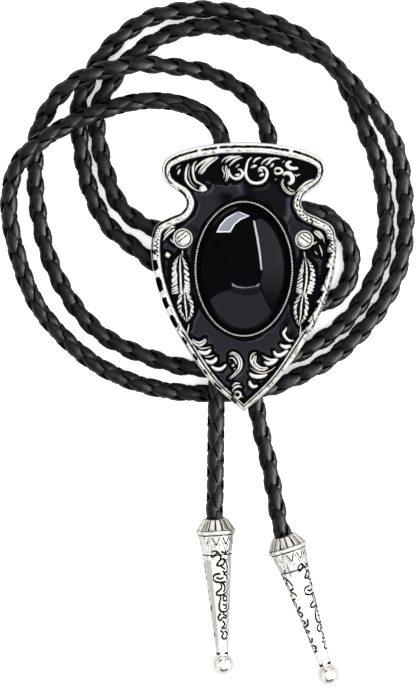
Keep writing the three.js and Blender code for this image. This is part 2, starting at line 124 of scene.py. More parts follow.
# Raised strokes. Columns: width in millimetres, ridges that run along it, share of the width that is left at
# its ends, and points that it passes: millimetres across from the slide's middle and down from its top.
STROKES = [
    (0.44, 1, 0.25, [(-15.1, 7.6), (-15.0, 6.9), (-14.5, 6.0)]),
    (0.20, 1, 0.25, [(-15.5, 6.2), (-15.1, 5.6), (-14.4, 5.2)]),
    (0.48, 1, 0.3, [(-12.5, 4.7), (-13.1, 5.8), (-13.3, 7.0), (-13.3, 8.5), (-12.6, 9.7), (-11.4, 10.7),
        (-10.0, 11.3)]),
    (0.44, 1, 0.3, [(-10.7, 4.2), (-11.4, 4.9), (-11.7, 5.9), (-11.6, 7.4), (-11.1, 8.8), (-9.8, 9.6),
        (-8.7, 10.1)]),
    (0.18, 1, 0.3, [(-12.3, 5.2), (-12.6, 6.6), (-12.5, 8.1), (-11.9, 9.4), (-10.7, 10.4)]),
    (1.10, 1, 0.75, [(-10.3, 10.6), (-9.4, 10.7), (-8.5, 10.3)]),
    (0.48, 1, 0.25, [(-11.3, 6.8), (-10.7, 5.5), (-9.3, 4.4), (-7.8, 3.7), (-6.5, 3.4)]),
    (0.97, 2, 0.25, [(-10.5, 7.3), (-9.3, 5.9), (-7.8, 4.5), (-5.6, 3.2)]),
    (0.40, 1, 0.25, [(-9.9, 7.5), (-9.2, 6.6), (-8.5, 5.8)]),
    (0.35, 1, 0.25, [(-5.2, 4.7), (-4.5, 3.8), (-3.4, 3.3), (-2.2, 3.0)]),
    (0.48, 1, 0.25, [(-4.4, 4.8), (-3.5, 4.0), (-2.2, 3.4), (-0.5, 3.1)]),
    (0.44, 1, 0.25, [(-3.5, 5.6), (-2.7, 4.7), (-1.6, 3.9), (0.0, 3.4)]),
    (0.26, 1, 0.25, [(-4.7, 5.3), (-4.9, 6.1), (-4.5, 7.2), (-4.7, 8.4)]),
    (0.62, 2, 0.3, [(-4.1, 5.1), (-4.0, 6.3), (-3.7, 7.4), (-3.9, 8.4), (-4.2, 9.1)]),
    (0.57, 1, 0.5, [(-3.5, 5.9), (-3.3, 7.1), (-2.6, 8.1), (-1.6, 8.4), (-0.6, 7.9), (-0.3, 7.0),
        (-0.8, 6.3), (-1.5, 6.2)]),
    (0.53, 1, 0.6, [(-2.1, 7.4), (-1.4, 7.5), (-1.0, 7.1)]),
    (0.31, 1, 0.4, [(-1.9, 5.9), (-1.4, 5.3), (-0.9, 5.1)]),
    (0.62, 1, 0.4, [(2.0, 3.3), (1.0, 4.2), (0.6, 5.6), (0.4, 7.0), (0.7, 8.1), (1.6, 9.1), (3.0, 9.4),
        (4.4, 9.0), (5.2, 7.9), (5.3, 6.7), (4.5, 5.8), (3.7, 5.9), (3.2, 6.6)]),
    (0.53, 1, 0.5, [(3.4, 7.7), (4.1, 7.5), (4.6, 7.0)]),
    (0.48, 1, 0.4, [(3.2, 6.8), (3.8, 6.4), (4.4, 6.7)]),
    (0.53, 1, 0.4, [(1.5, 5.9), (2.3, 5.5), (3.1, 5.3)]),
    (0.48, 1, 0.25, [(2.0, 4.8), (2.8, 3.9), (4.1, 3.4)]),
    (0.40, 1, 0.3, [(3.9, 5.2), (4.5, 4.4), (5.4, 3.8), (6.7, 3.5)]),
    (0.53, 1, 0.3, [(4.8, 5.2), (5.6, 4.8), (6.2, 4.1), (7.2, 3.7), (8.5, 3.8)]),
    (0.44, 1, 0.4, [(6.0, 5.8), (6.5, 5.3), (6.9, 4.7)]),
    (0.48, 1, 0.8, [(7.0, 6.6), (7.4, 6.0), (8.3, 6.0), (8.8, 6.6), (8.3, 7.1), (7.4, 7.2), (7.0, 6.6)]),
    (0.75, 1, 0.5, [(11.1, 4.4), (10.3, 4.6), (9.9, 5.2), (10.5, 5.8), (11.7, 6.0), (12.6, 5.8)]),
    (0.22, 1, 0.25, [(8.7, 4.8), (9.1, 4.4), (9.5, 4.1)]),
    (0.84, 1, 0.5, [(8.8, 7.6), (9.6, 7.1), (10.5, 7.2), (11.1, 7.9), (11.1, 8.9), (10.6, 9.4), (10.1, 9.1)]),
    (0.57, 2, 0.3, [(9.2, 8.2), (8.8, 9.4), (9.2, 10.5), (10.0, 11.4), (11.1, 11.8), (12.0, 11.4)]),
    (0.26, 1, 0.3, [(10.0, 10.1), (10.8, 10.9), (11.8, 11.2)]),
    (0.35, 1, 0.6, [(7.2, 8.3), (7.3, 8.5), (7.4, 8.7)]),
    (0.31, 1, 0.4, [(12.0, 7.9), (12.5, 7.5), (13.0, 7.3)]),
    (0.26, 1, 0.4, [(11.6, 7.3), (12.0, 7.6), (12.2, 8.0)]),
    (0.48, 1, 0.35, [(12.0, 11.4), (13.1, 10.3), (14.4, 9.2), (16.4, 8.4)]),
    (0.24, 1, 0.35, [(12.3, 11.9), (13.6, 10.8), (15.1, 9.7), (16.6, 8.9)]),
    (0.48, 1, 0.4, [(-18.6, 22.7), (-17.8, 21.5), (-16.7, 20.5), (-15.7, 19.8)]),
    (0.35, 1, 0.4, [(-18.5, 21.5), (-17.6, 20.4), (-16.6, 19.5), (-15.6, 19.3)]),
    (0.57, 1, 0.5, [(-17.3, 19.5), (-16.6, 19.3), (-15.9, 19.4)]),
    (0.88, 1, 0.7, [(-18.1, 25.6), (-17.6, 25.8), (-16.9, 26.3)]),
    (0.31, 1, 0.4, [(-17.0, 22.0), (-16.5, 22.7), (-15.8, 23.3)]),
    (0.31, 1, 0.6, [(-14.0, 24.6), (-14.1, 25.4), (-14.0, 26.1)]),
    (0.29, 1, 0.5, [(-12.5, 41.5), (-12.8, 42.9), (-13.2, 44.7)]),
    (0.88, 2, 0.4, [(16.0, 20.3), (17.0, 21.0), (18.1, 22.2)]),
    (0.31, 1, 0.3, [(16.8, 20.1), (17.9, 21.2), (18.6, 23.3)]),
    (0.31, 1, 0.3, [(15.5, 23.6), (16.2, 23.2), (16.9, 22.7)]),
    (0.31, 1, 0.3, [(17.2, 23.4), (17.7, 24.6), (18.1, 26.3)]),
    (0.26, 1, 0.3, [(16.2, 24.9), (16.6, 25.4), (17.0, 25.9)]),
    (0.31, 1, 0.6, [(13.8, 24.9), (13.9, 25.7), (14.1, 26.5)]),
    (0.29, 1, 0.5, [(13.0, 41.8), (13.0, 43.2), (12.7, 44.7)]),
    (0.92, 2, 0.35, [(-12.0, 45.1), (-11.3, 45.9), (-10.2, 46.3), (-9.2, 45.8), (-8.7, 45.0)]),
    (0.75, 1, 0.3, [(-10.7, 47.7), (-9.7, 48.3), (-8.5, 48.3), (-7.4, 47.4)]),
    (0.29, 1, 0.3, [(-10.8, 46.9), (-9.8, 47.3), (-8.7, 47.2), (-7.5, 46.9)]),
    (0.75, 1, 0.3, [(-9.1, 49.8), (-7.8, 50.5), (-6.7, 50.1), (-6.2, 49.2)]),
    (0.29, 1, 0.3, [(-9.1, 49.2), (-8.0, 49.2), (-6.7, 48.8)]),
    (0.70, 1, 0.3, [(-7.7, 51.2), (-6.5, 52.0), (-5.2, 52.0), (-3.9, 50.8)]),
    (0.79, 2, 0.3, [(-3.4, 48.8), (-2.5, 48.4), (-1.4, 49.1), (-0.8, 50.4), (-1.0, 52.0), (-1.9, 53.1),
        (-3.4, 54.4)]),
    (0.35, 1, 0.3, [(-3.5, 49.6), (-2.6, 49.5), (-1.9, 50.3), (-1.6, 51.1)]),
    (0.44, 1, 0.6, [(-2.9, 51.3), (-2.5, 51.2), (-2.1, 51.0)]),
    (0.31, 1, 0.6, [(-2.3, 52.1), (-2.1, 52.0), (-1.9, 51.8)]),
    (0.35, 1, 0.3, [(-2.8, 56.2), (-1.9, 55.3), (-0.7, 55.4)]),
    (0.40, 1, 0.4, [(-2.7, 57.3), (-2.1, 56.3), (-1.0, 56.0), (-0.4, 56.3)]),
    (0.40, 1, 0.8, [(-2.2, 57.7), (-1.6, 57.2), (-0.8, 57.6), (-1.0, 58.5), (-1.9, 58.5), (-2.2, 57.9)]),
    (0.26, 1, 0.4, [(-0.8, 58.0), (-0.4, 58.3), (-0.1, 58.7)]),
    (0.57, 1, 0.4, [(9.8, 42.3), (9.6, 43.0), (9.1, 43.7), (9.6, 44.8), (10.5, 45.5), (11.6, 45.5)]),
    (0.75, 1, 0.35, [(8.2, 46.3), (9.2, 46.9), (10.2, 46.9), (11.0, 46.6)]),
    (0.79, 1, 0.35, [(6.8, 47.7), (7.4, 48.7), (8.3, 48.9), (9.4, 48.3), (10.3, 47.6)]),
    (0.75, 1, 0.35, [(4.5, 50.3), (5.6, 50.8), (6.7, 50.5), (8.0, 49.6)]),
    (0.44, 1, 0.3, [(4.2, 48.9), (5.2, 49.6), (6.3, 49.9), (7.6, 49.6)]),
    (0.31, 1, 0.3, [(1.7, 51.2), (1.5, 50.1), (1.7, 49.0), (2.3, 48.4), (2.9, 48.3)]),
    (1.01, 2, 0.3, [(2.7, 48.7), (2.4, 49.9), (2.2, 50.5), (2.9, 51.4), (4.1, 52.0), (5.8, 51.7)]),
    (0.26, 1, 0.3, [(1.3, 51.5), (2.8, 52.6), (4.3, 52.9), (6.1, 52.4), (7.5, 51.3)]),
    (0.75, 1, 0.35, [(1.2, 52.8), (1.9, 53.5), (3.0, 53.8), (4.3, 53.7), (5.6, 53.1)]),
    (0.70, 1, 0.4, [(1.3, 54.6), (1.5, 55.5), (2.2, 56.1), (3.3, 55.8)]),
]

# Feathers. Columns: points on the left edge, points on the right edge (shares of half the slide's width across
# and of its height down), number of barbs.
FEATHERS = [
    ([(-0.69, 0.415), (-0.77, 0.45), (-0.785, 0.53), (-0.785, 0.565)],
     [(-0.68, 0.415), (-0.61, 0.455), (-0.58, 0.52), (-0.575, 0.558)], 10),
    ([(-0.69, 0.553), (-0.725, 0.6), (-0.69, 0.64), (-0.622, 0.668)],
     [(-0.6, 0.553), (-0.542, 0.6), (-0.55, 0.64), (-0.612, 0.668)], 7),
    ([(0.65, 0.425), (0.6, 0.48), (0.57, 0.53), (0.56, 0.56)],
     [(0.67, 0.425), (0.76, 0.465), (0.775, 0.52), (0.74, 0.565)], 10),
    ([(0.61, 0.558), (0.54, 0.6), (0.545, 0.645), (0.588, 0.682)],
     [(0.68, 0.56), (0.705, 0.605), (0.68, 0.65), (0.6, 0.682)], 7),
]

# Rosettes. Columns: place across and down, as for the feathers, radius as a share of the slide's width, turn of
# the bars in degrees.
ROSETTES = [(-0.66, 0.357, 0.055, -38), (0.655, 0.362, 0.052, 35)]

# Tips. Columns: name, x and y of the mouth, lean from straight down in degrees, and the turn of the engraving
# about the tip's own axis in degrees.
TIPS = [("tip_left", -6.6, -24.0, 3.1, 35), ("tip_right", 9.2, -28.0, 17.9, 72)]
TIP_LENGTH = 36.3
COLLAR_DIAMETER = 9.3
BALL_DIAMETER = 5.0
COLLAR_ALONG = TIP_LENGTH * 0.084
BALL_RADIUS = BALL_DIAMETER / 2
BALL_ALONG = TIP_LENGTH - BALL_RADIUS
TIP_TILT = math.asin((COLLAR_DIAMETER - BALL_DIAMETER) / 2 / (BALL_ALONG - COLLAR_ALONG))
MOUTH_LEVEL = COLLAR_DIAMETER / 2 + COLLAR_ALONG * math.sin(TIP_TILT)

CORD_DIAMETER = 4.0
# How far the braid stands out past the nominal diameter, how far the cord reaches into a tip, and how far from
# the mouth it still runs in line with the tip
CORD_SWELL = 0.12
CORD_INSET = 7.0
CORD_LEAD = 3.0

# The cord's way from the left tip to the right one: x, y and height of points that it passes.
ROUTE = [
    (-6.6, -19.7, 5.0), (-6.5, -12.8, 5.2), (-6.3, 3.3, 6.2), (-6.0, 14.8, 6.3), (-5.4, 26.3, 6.3),
    (-5.3, 41.0, 6.3), (-5.0, 62.7, 6.3), (-6.2, 66.1, 6.2), (-8.9, 69.0, 5.9), (-14.7, 71.6, 5.3),
    (-21.6, 72.3, 5.4), (-28.0, 71.3, 6.1), (-39.3, 67.3, 6.3), (-48.7, 61.4, 6.3), (-51.9, 57.8, 5.4),
    (-53.9, 52.1, 3.0), (-54.0, 44.7, 2.16), (-49.6, 29.1, 2.04), (-45.0, 21.5, 2.0), (-33.2, 11.0, 2.0),
    (-17.9, 5.5, 2.0), (2.6, 5.4, 2.0), (8.3, 6.9, 2.0), (20.8, 13.3, 2.0), (32.0, 25.2, 2.0),
    (37.1, 38.7, 2.06), (36.3, 57.8, 2.3), (34.3, 63.6, 3.4), (30.2, 70.0, 5.6), (20.3, 80.8, 6.3),
    (14.8, 83.9, 6.0), (0.1, 88.5, 4.1), (-8.5, 89.6, 2.9), (-17.7, 87.6, 2.12), (-25.9, 82.4, 2.0),
    (-33.1, 71.9, 2.0), (-33.9, 66.3, 2.0), (-30.5, 52.1, 2.0), (-28.2, 47.9, 2.0), (-24.6, 44.7, 2.0),
    (-19.7, 42.6, 2.0), (-6.6, 41.0, 2.0), (0.3, 42.5, 2.0), (12.9, 47.2, 2.0), (17.5, 46.7, 2.0),
    (21.3, 44.3, 2.0), (23.9, 40.6, 2.0), (25.0, 36.0, 2.0), (24.3, 31.1, 2.0), (21.9, 27.5, 2.0),
    (9.5, 22.9, 2.0), (0.3, 23.3, 2.0), (-8.9, 26.7, 2.0), (-25.9, 39.0, 2.0), (-30.2, 42.4, 2.0),
    (-33.1, 46.3, 2.0), (-36.5, 55.3, 2.0), (-37.9, 72.3, 2.0), (-35.5, 77.8, 2.0), (-32.1, 83.6, 2.0),
    (-22.3, 91.2, 2.0), (-9.8, 93.6, 2.0), (4.2, 91.2, 2.0), (12.0, 88.0, 2.0), (20.8, 80.8, 2.0),
    (28.8, 63.8, 2.0), (31.2, 57.4, 2.0), (32.9, 46.1, 2.0), (31.7, 35.3, 2.0), (24.4, 22.4, 2.0),
    (13.4, 14.4, 2.0), (6.0, 11.7, 2.0), (-10.5, 10.6, 2.0), (-19.3, 12.3, 2.0), (-33.2, 18.8, 2.0),
    (-42.7, 31.0, 2.0), (-47.4, 46.3, 2.05), (-47.8, 64.0, 2.2), (-45.8, 69.1, 2.9), (-41.8, 74.4, 4.9),
    (-36.7, 77.8, 6.2), (-26.2, 80.5, 6.1), (-14.7, 80.1, 3.0), (-8.2, 78.8, 2.5), (1.0, 73.5, 3.7),
    (4.2, 68.4, 5.0), (5.9, 62.7, 6.1), (5.3, 41.0, 6.3), (5.2, 26.3, 6.3), (2.7, 4.9, 6.3),
    (5.9, -11.9, 5.4), (7.4, -19.9, 5.1),
]


def place(across, down):
    """A point on the slide, from its shares of half the width across and of the height down."""
    return np.array([across * SLIDE_WIDTH / 2, SLIDE_TOP - down * SLIDE_HEIGHT])


def spline(points, at):
    """Points of a centripetal spline; a whole number in at is one of its own points."""
    own = np.asarray(points, float)
    own = np.vstack([2 * own[0] - own[1], own, 2 * own[-1] - own[-2]])
    i = np.clip(np.floor(at).astype(int), 0, len(own) - 4)
    t = (at - i)[:, None]
    a, b, c, d = (own[i + k] for k in range(4))
    ab, bc, cd = (np.linalg.norm(q - p, axis=1, keepdims=True) ** 0.5 for p, q in ((a, b), (b, c), (c, d)))
    leave = ((b - a) / ab - (c - a) / (ab + bc) + (c - b) / bc) * bc
    arrive = ((c - b) / bc - (d - b) / (bc + cd) + (d - c) / cd) * bc
    return b + leave * t + (3 * (c - b) - 2 * leave - arrive) * t**2 + (2 * (b - c) + leave + arrive) * t**3


def evenly(points, count):
    """Parameters that lie evenly along a spline, and its length."""
    samples = 60 * len(points)
    fine = np.linspace(0, len(points) - 1, samples)
    run = np.linalg.norm(np.diff(spline(points, fine), axis=0), axis=1).cumsum()
    run = np.concatenate([[0], run])
    return np.interp(np.linspace(0, run[-1], count), run, fine), run[-1]


def jitter(x, step, seed):
    """Smooth random values from -1 to 1 along x, with a new value at each step. They repeat after 997 steps."""
    values = np.random.default_rng(seed).uniform(-1, 1, 997)
    x = np.asarray(x, float) / step
    i = np.floor(x).astype(int)
    t = x - i
    t = t * t * (3 - 2 * t)
    return values[i % len(values)] * (1 - t) + values[(i + 1) % len(values)] * t


def chance(x, low, high, seed):
    """Random values from low to high, one for each whole number in x. They repeat after 400."""
    values = np.random.default_rng(seed).uniform(low, high, 400)
    return values[np.floor(x).astype(int) % len(values)]


def smooth(low, high, x):
    """0 below low, 1 above high and a smooth rise between them."""
    t = np.clip((np.asarray(x, float) - low) / (high - low), 0, 1)
    return t * t * (3 - 2 * t)


def between(rise, fall, x):
    """1 between two places and 0 outside them. rise and fall say from where to where it changes."""
    return smooth(*rise, x) * (1 - smooth(*fall, x))


def near(inner, outer, gap):
    """1 where a gap is smaller than inner, and 0 where it is larger than outer."""
    return 1 - smooth(inner, outer, np.abs(gap))


def unit(vectors):
    """Vectors of length 1 in the same directions."""
    return vectors / np.linalg.norm(vectors, axis=-1, keepdims=True)


def section(rows, share, places=None):
    """Reads a table between its rows: one array for each column. Share is 0 at the first row and 1 at the last;
    the rows are evenly spaced, or lie at places."""
    places = np.arange(len(rows)) if places is None else places
    return [np.interp(share * places[-1], places, column) for column in zip(*rows)]


def slab(v, columns):
    """Section of a raised form with upright sides, closed underneath: which points lie on its top, and how far
    across each one is, from -1 to 1."""
    column = np.rint(v * columns)
    top = (column >= 2) & (column <= columns - 2)
    across = np.where(top, (column - 2) / (columns - 4) * 2 - 1, np.where(v < 0.5, -1.0, 1.0))
    return top, np.where((column == 0) | (column == columns), 0, across)


def join(target, bm):
    """Moves a bmesh into another one."""
    mesh = bpy.data.meshes.new("joined")
    bm.to_mesh(mesh)
    bm.free()
    target.from_mesh(mesh)
    bpy.data.meshes.remove(mesh)


def patch(target, along, across, surface):
    """Adds a welded grid to a bmesh. surface takes the shares along and across, from 0 to 1, and gives x, y and
    z in millimetres and how dark the point is: blackening on the metal, and painted shade on the enamel, the
    cord and one side of the tips."""
    bm = bmesh.new()
    bmesh.ops.create_grid(bm, x_segments=along, y_segments=across, size=1)
    recess = bm.verts.layers.float.new("recess")
    shares = np.array([vert.co[:2] for vert in bm.verts]) / 2 + 0.5
    x, y, z, black = surface(shares[:, 0], shares[:, 1])
    for vert, px, py, pz, depth in zip(bm.verts, x * MM, y * MM, z * MM, np.broadcast_to(black, x.shape)):
        vert.co = (px, py, pz)
        vert[recess] = depth
    bmesh.ops.remove_doubles(bm, verts=bm.verts, dist=2e-6)
    bmesh.ops.dissolve_degenerate(bm, edges=bm.edges, dist=1e-7)
    bmesh.ops.recalc_face_normals(bm, faces=bm.faces)
    join(target, bm)


def shown(bm, name, material):
    """Makes an object of a bmesh, with its material."""
    mesh = bpy.data.meshes.new(name)
    bm.to_mesh(mesh)
    bm.free()
    mesh.materials.append(material)
    obj = bpy.data.objects.new(name, mesh)
    bpy.context.scene.collection.objects.link(obj)
    return obj


def piece(bm, name, material, slot, *nodes):
    """Makes a smooth piece of a bmesh, and lets it ride in place of the CAD nodes."""
    obj = shown(bm, name, material)
    obj.data.polygons.foreach_set("use_smooth", [True] * len(obj.data.polygons))
    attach(obj, BODY)
    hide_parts(*nodes)
    return obj


def node(tree, kind, inputs=None, **settings):
    """Adds a shader node with its settings; inputs maps its sockets to values or to other nodes' sockets."""
    made = tree.nodes.new("ShaderNode" + kind)
    for name, value in settings.items():
        setattr(made, name, value)
    for name, value in (inputs or {}).items():
        if isinstance(value, bpy.types.NodeSocket):
            tree.links.new(value, made.inputs[name])
        else:
            made.inputs[name].default_value = value
    return made


def blank(name):
    """A new material, its empty tree and where on the piece a point lies."""
    material = bpy.data.materials.new(name)
    material.use_nodes = True
    tree = material.node_tree
    tree.nodes.clear()
    return material, tree, node(tree, "TexCoord").outputs["Object"]


def noise(tree, where, size, detail=2.0, roughness=0.5, distortion=0.0):
    """Clouds whose features are size millimetres long."""
    return node(tree, "TexNoise", {"Vector": where, "Scale": per_metre(size), "Detail": detail,
                                   "Roughness": roughness, "Distortion": distortion}).outputs["Fac"]


def per_metre(millimetres):
    """Scale of a texture whose features are that long."""
    return 1 / (millimetres * MM)


def remap(tree, value, low, high, to_low=0.0, to_high=1.0, kind="LINEAR"):
    """Turns the range from low to high into another one."""
    return node(tree, "MapRange", {"Value": value, "From Min": low, "From Max": high, "To Min": to_low,
                                   "To Max": to_high}, interpolation_type=kind).outputs["Result"]


def blend(tree, share, *colours):
    """Mixes two colours, each a socket or a linear colour."""
    first, second = (c if isinstance(c, bpy.types.NodeSocket) else (*c, 1) for c in colours)
    return node(tree, "Mix", {0: share, 6: first, 7: second}, data_type="RGBA").outputs[2]


def combine(tree, operation, first, second):
    """Adds, subtracts or multiplies two values."""
    return node(tree, "Math", {0: first, 1: second}, operation=operation).outputs[0]


def bump(tree, height, strength, millimetres):
    """Normal of a surface with a fine relief."""
    return node(tree, "Bump", {"Height": height, "Strength": strength,
                               "Distance": millimetres * MM}).outputs["Normal"]


def painted(tree, attribute="recess"):
    """A value that the mesh has at each vertex, such as how deep the vertex lies."""
    return node(tree, "Attribute", attribute_name=attribute).outputs["Fac"]


def surfaced(material, inputs, kind="BsdfPrincipled"):
    """Gives a material its shader and its output."""
    shader = node(material.node_tree, kind, inputs)
    node(material.node_tree, "OutputMaterial", {"Surface": shader.outputs[0]})
    return material


def silver(name, bright, black, polish, grain):
    """Cast white metal with a silver plate, blackened and then wiped: bright on what stands out, black in what
    lies deep, with worn, uneven edges between the two and the fine grain of the casting."""
    material, tree, where = blank(name)
    worn = remap(tree, noise(tree, where, 0.9, 4.0, 0.65), 0.3, 0.7, -0.3, 0.3)
    dark = remap(tree, combine(tree, "ADD", painted(tree), worn), 0.25, 0.6, kind="SMOOTHSTEP")
    return surfaced(material, {
        "Base Color": blend(tree, dark, bright, black), "Metallic": 1.0,
        "Roughness": remap(tree, dark, 0, 1, polish, 0.55),
        "Normal": bump(tree, noise(tree, where, grain, 3.0), 0.25, 0.03)})


def cast_silver(settings):
    """The slide's silver; all of its pieces share it."""
    made = bpy.data.materials.get("antiqued_cast_silver")
    return made or silver("antiqued_cast_silver", settings.silver_colour, settings.blackening, 0.3, 0.16)


def enamel(settings):
    """Black cold enamel poured between the raised work, glossy and hard with a slightly wavy surface. Its
    colour holds
    painted reflection and shade: slate clouds where it lies open, a lighter painted highlight where they end,
    and deep black painted shade where it creeps up to the metal."""
    material, tree, where = blank("poured_black_enamel")
    # Painted shade: near the metal, among the top scrolls and at the upper right
    deep = painted(tree)
    cloud = remap(tree, noise(tree, where, 9, distortion=0.6), 0.3, 0.5, kind="SMOOTHSTEP")
    # Slate clouds of painted reflection where the enamel lies open
    mirroring = combine(tree, "MULTIPLY", cloud, combine(tree, "SUBTRACT", 1.0, deep))
    flat = blend(tree, mirroring, settings.enamel_colour, settings.enamel_painted_reflection)
    # A painted highlight along the edge of the painted shade
    brow_highlight = combine(tree, "MULTIPLY", remap(tree, deep, 0.2, 0.4), remap(tree, deep, 0.7, 0.4))
    return surfaced(material, {
        "Base Color": blend(tree, combine(tree, "MULTIPLY", brow_highlight, cloud), flat, linear(0x303038)),
        "Roughness": 0.12, "IOR": 1.36, "Normal": bump(tree, noise(tree, where, 6, 1.0, 0.3), 1.0, 0.5)})


def onyx(settings):
    """Black chalcedony, domed and polished to a mirror gloss down to its girdle, which is left dull: the colour
    is even and the reflections do the rest."""
    material, tree, where = blank("polished_black_onyx")
    cloud = noise(tree, where, 9)
    return surfaced(material, {
        "Base Color": blend(tree, cloud, settings.stone_colour, linear(0x040405)),
        "Roughness": remap(tree, cloud, 0, 1, 0.02, 0.04), "IOR": 1.54,
        "Specular IOR Level": remap(tree, painted(tree), 0, 1, 0.5, 0.0)})


def leather(settings):
    """Bonded leather lace, dyed black and waxed: a dark, slightly grained face with a soft sheen, and painted
    shade, black, in the seams where one strand dives under the next."""
    material, tree, where = blank("waxed_black_leather")
    # Painted shade in the seams where one strand dives under the next
    seam = painted(tree)
    rub = noise(tree, where, 1.6, 3.0, 0.6)
    face = blend(tree, remap(tree, rub, 0.45, 0.75), settings.leather_colour, settings.leather_rubbed)
    grain = node(tree, "TexVoronoi", {"Vector": where, "Scale": per_metre(0.28)}).outputs["Distance"]
    return surfaced(material, {
        "Base Color": blend(tree, seam, face, linear(0x010101)),
        "Roughness": remap(tree, rub, 0, 1, 0.3, 0.46), "IOR": 1.48,
        "Specular IOR Level": remap(tree, seam, 0, 1, 0.5, 0.03), "Normal": bump(tree, grain, 0.25, 0.04)})


def stamped_steel():
    """Nickel-plated sheet steel for the clasp: a plain satin plate with faint drawing lines."""
    material, tree, where = blank("nickel_plated_steel")
    drawn_out = node(tree, "Mapping", {"Vector": where, "Scale": (1, 12, 1)}).outputs["Vector"]
    lines = noise(tree, drawn_out, 1.2, 3.0)
    return surfaced(material, {
        "Base Color": blend(tree, lines, linear(0xB4B2AE), linear(0xA09E9A)), "Metallic": 1.0,
        "Roughness": remap(tree, lines, 0, 1, 0.3, 0.48)})


def paper_floor():
    """Seamless white backdrop paper: matte, without a pattern that shows at this distance. It is bleached where
    the camera sees it, as in a product photo, and grey where metal mirrors it."""
    material, tree, where = blank("backdrop_paper")
    path = node(tree, "LightPath").outputs
    fibre = blend(tree, noise(tree, where, 40), linear(0xFBFBFB), linear(0xFDFDFD))
    return surfaced(material, {
        "Base Color": blend(tree, path["Is Glossy Ray"], fibre, (0.33, 0.33, 0.32)), "Roughness": 0.95,
        "Specular IOR Level": 0.0, "Emission Color": (1, 1, 1, 1),
        "Emission Strength": combine(tree, "MULTIPLY", path["Is Camera Ray"], 0.3)})


def glowing(name, radiance):
    """Even cool light of a card, which its own fade dims."""
    material, tree, _ = blank("card_" + name)
    strength = combine(tree, "MULTIPLY", painted(tree, "glow"), radiance)
    return surfaced(material, {"Color": (0.88, 0.9, 1, 1), "Strength": strength}, "Emission")


class SlideSettings(bpy.types.PropertyGroup):
    """Sizes and colours of the slide and its stone."""

    relief: bpy.props.FloatProperty(
        name="Relief", description="Height of the leaf work above the plate", default=1.1 * MM, min=0.0005,
        unit="LENGTH", precision=5)
    scallop: bpy.props.FloatProperty(
        name="Scallop", description="Depth of the chipped facets along the rim", default=0.42 * MM, min=0.0,
        unit="LENGTH", precision=5)
    stroke_scale: bpy.props.FloatProperty(
        name="Stroke Width", description="Width of the raised strokes as a share of their drawn width",
        default=1.45, min=0.5)
    beads: bpy.props.IntProperty(
        name="Beads", description="Number of beads on the stone's setting", default=164, min=24)
    silver_colour: bpy.props.FloatVectorProperty(
        name="Silver", description="Colour of the wiped silver", default=linear(0xF6F4F0), subtype="COLOR",
        min=0.0, max=1.0)
    blackening: bpy.props.FloatVectorProperty(
        name="Blackening", description="Colour left in the recesses", default=linear(0x0C0B0B), subtype="COLOR",
        min=0.0, max=1.0)
    # The enamel's own black, which also gives the painted shade near the metal, and the slate of its painted
    # reflection
    enamel_colour: bpy.props.FloatVectorProperty(
        name="Enamel", description="Colour of the enamel where it is thick", default=linear(0x040405),
        subtype="COLOR", min=0.0, max=1.0)
    enamel_painted_reflection: bpy.props.FloatVectorProperty(
        name="Reflecting Enamel", description="Colour of the enamel where it is thin", default=linear(0x18181D),
        subtype="COLOR", min=0.0, max=1.0)
    stone_colour: bpy.props.FloatVectorProperty(
        name="Stone", description="Colour of the stone", default=linear(0x020203), subtype="COLOR",
        min=0.0, max=1.0)


class CordSettings(bpy.types.PropertyGroup):
    """Sizes and colours of the braided cord."""

    pitch: bpy.props.FloatProperty(
        name="Pitch", description="Length of one full turn of a strand", default=11.6 * MM, min=0.004,
        unit="LENGTH", precision=5)
    strand_width: bpy.props.FloatProperty(
        name="Strand Width", description="Width of one flat strand", default=3.7 * MM, min=0.001,
        unit="LENGTH", precision=5)
    strand_thickness: bpy.props.FloatProperty(
        name="Strand Thickness", description="Thickness of one strand in its middle", default=1.0 * MM,
        min=0.0003, unit="LENGTH", precision=5)
    float_slowness: bpy.props.FloatProperty(
        name="Straightness", description="How far a strand runs along the cord where it lies on top",
        default=0.4, min=0.0, max=0.45)
    leather_colour: bpy.props.FloatVectorProperty(
        name="Leather", description="Colour of the dyed face", default=linear(0x040404), subtype="COLOR",
        min=0.0, max=1.0)
    leather_rubbed: bpy.props.FloatVectorProperty(
        name="Rubbed Leather", description="Colour where the dye is rubbed", default=linear(0x151514),
        subtype="COLOR", min=0.0, max=1.0)


class TipSettings(bpy.types.PropertyGroup):
    """Fluting, engraving and colour of the tips."""

    engraving: bpy.props.FloatProperty(
        name="Engraving", description="Depth of the engraved lines", default=0.12 * MM, min=0.0,
        unit="LENGTH", precision=5)
    flutes: bpy.props.IntProperty(name="Flutes", description="Flutes around the crown", default=16, min=6)
    silver_colour: bpy.props.FloatVectorProperty(
        name="Silver", description="Colour of the polished silver", default=linear(0xFBF9F4), subtype="COLOR",
        min=0.0, max=1.0)


class StudioSettings(bpy.types.PropertyGroup):
    """Camera and light."""

    lens: bpy.props.FloatProperty(
        name="Lens", description="Focal length of the camera", default=300.0, min=50.0)
    pixel: bpy.props.FloatProperty(
        name="Pixel", description="Length that one pixel of the picture covers", default=0.23 * MM,
        unit="LENGTH", precision=5)
    fill: bpy.props.FloatProperty(
        name="Fill", description="Strength of the even light on matte surfaces", default=2.7, min=0.0)


def missing_groove(at):
    """Where the rim's groove is gone: hardly anywhere at the top, half on the right flank, all on the left."""
    groove = between((0.2, 0.25), (0.42, 0.47), at.share) * (1 - at.low)
    kept = smooth(-0.85, -0.6, jitter(at.run, 0.9, 5) + 0.3 * jitter(at.run, 3.7, 6))
    return groove * (1 - kept * (1 - at.flank * (0.5 + 0.5 * at.left)))


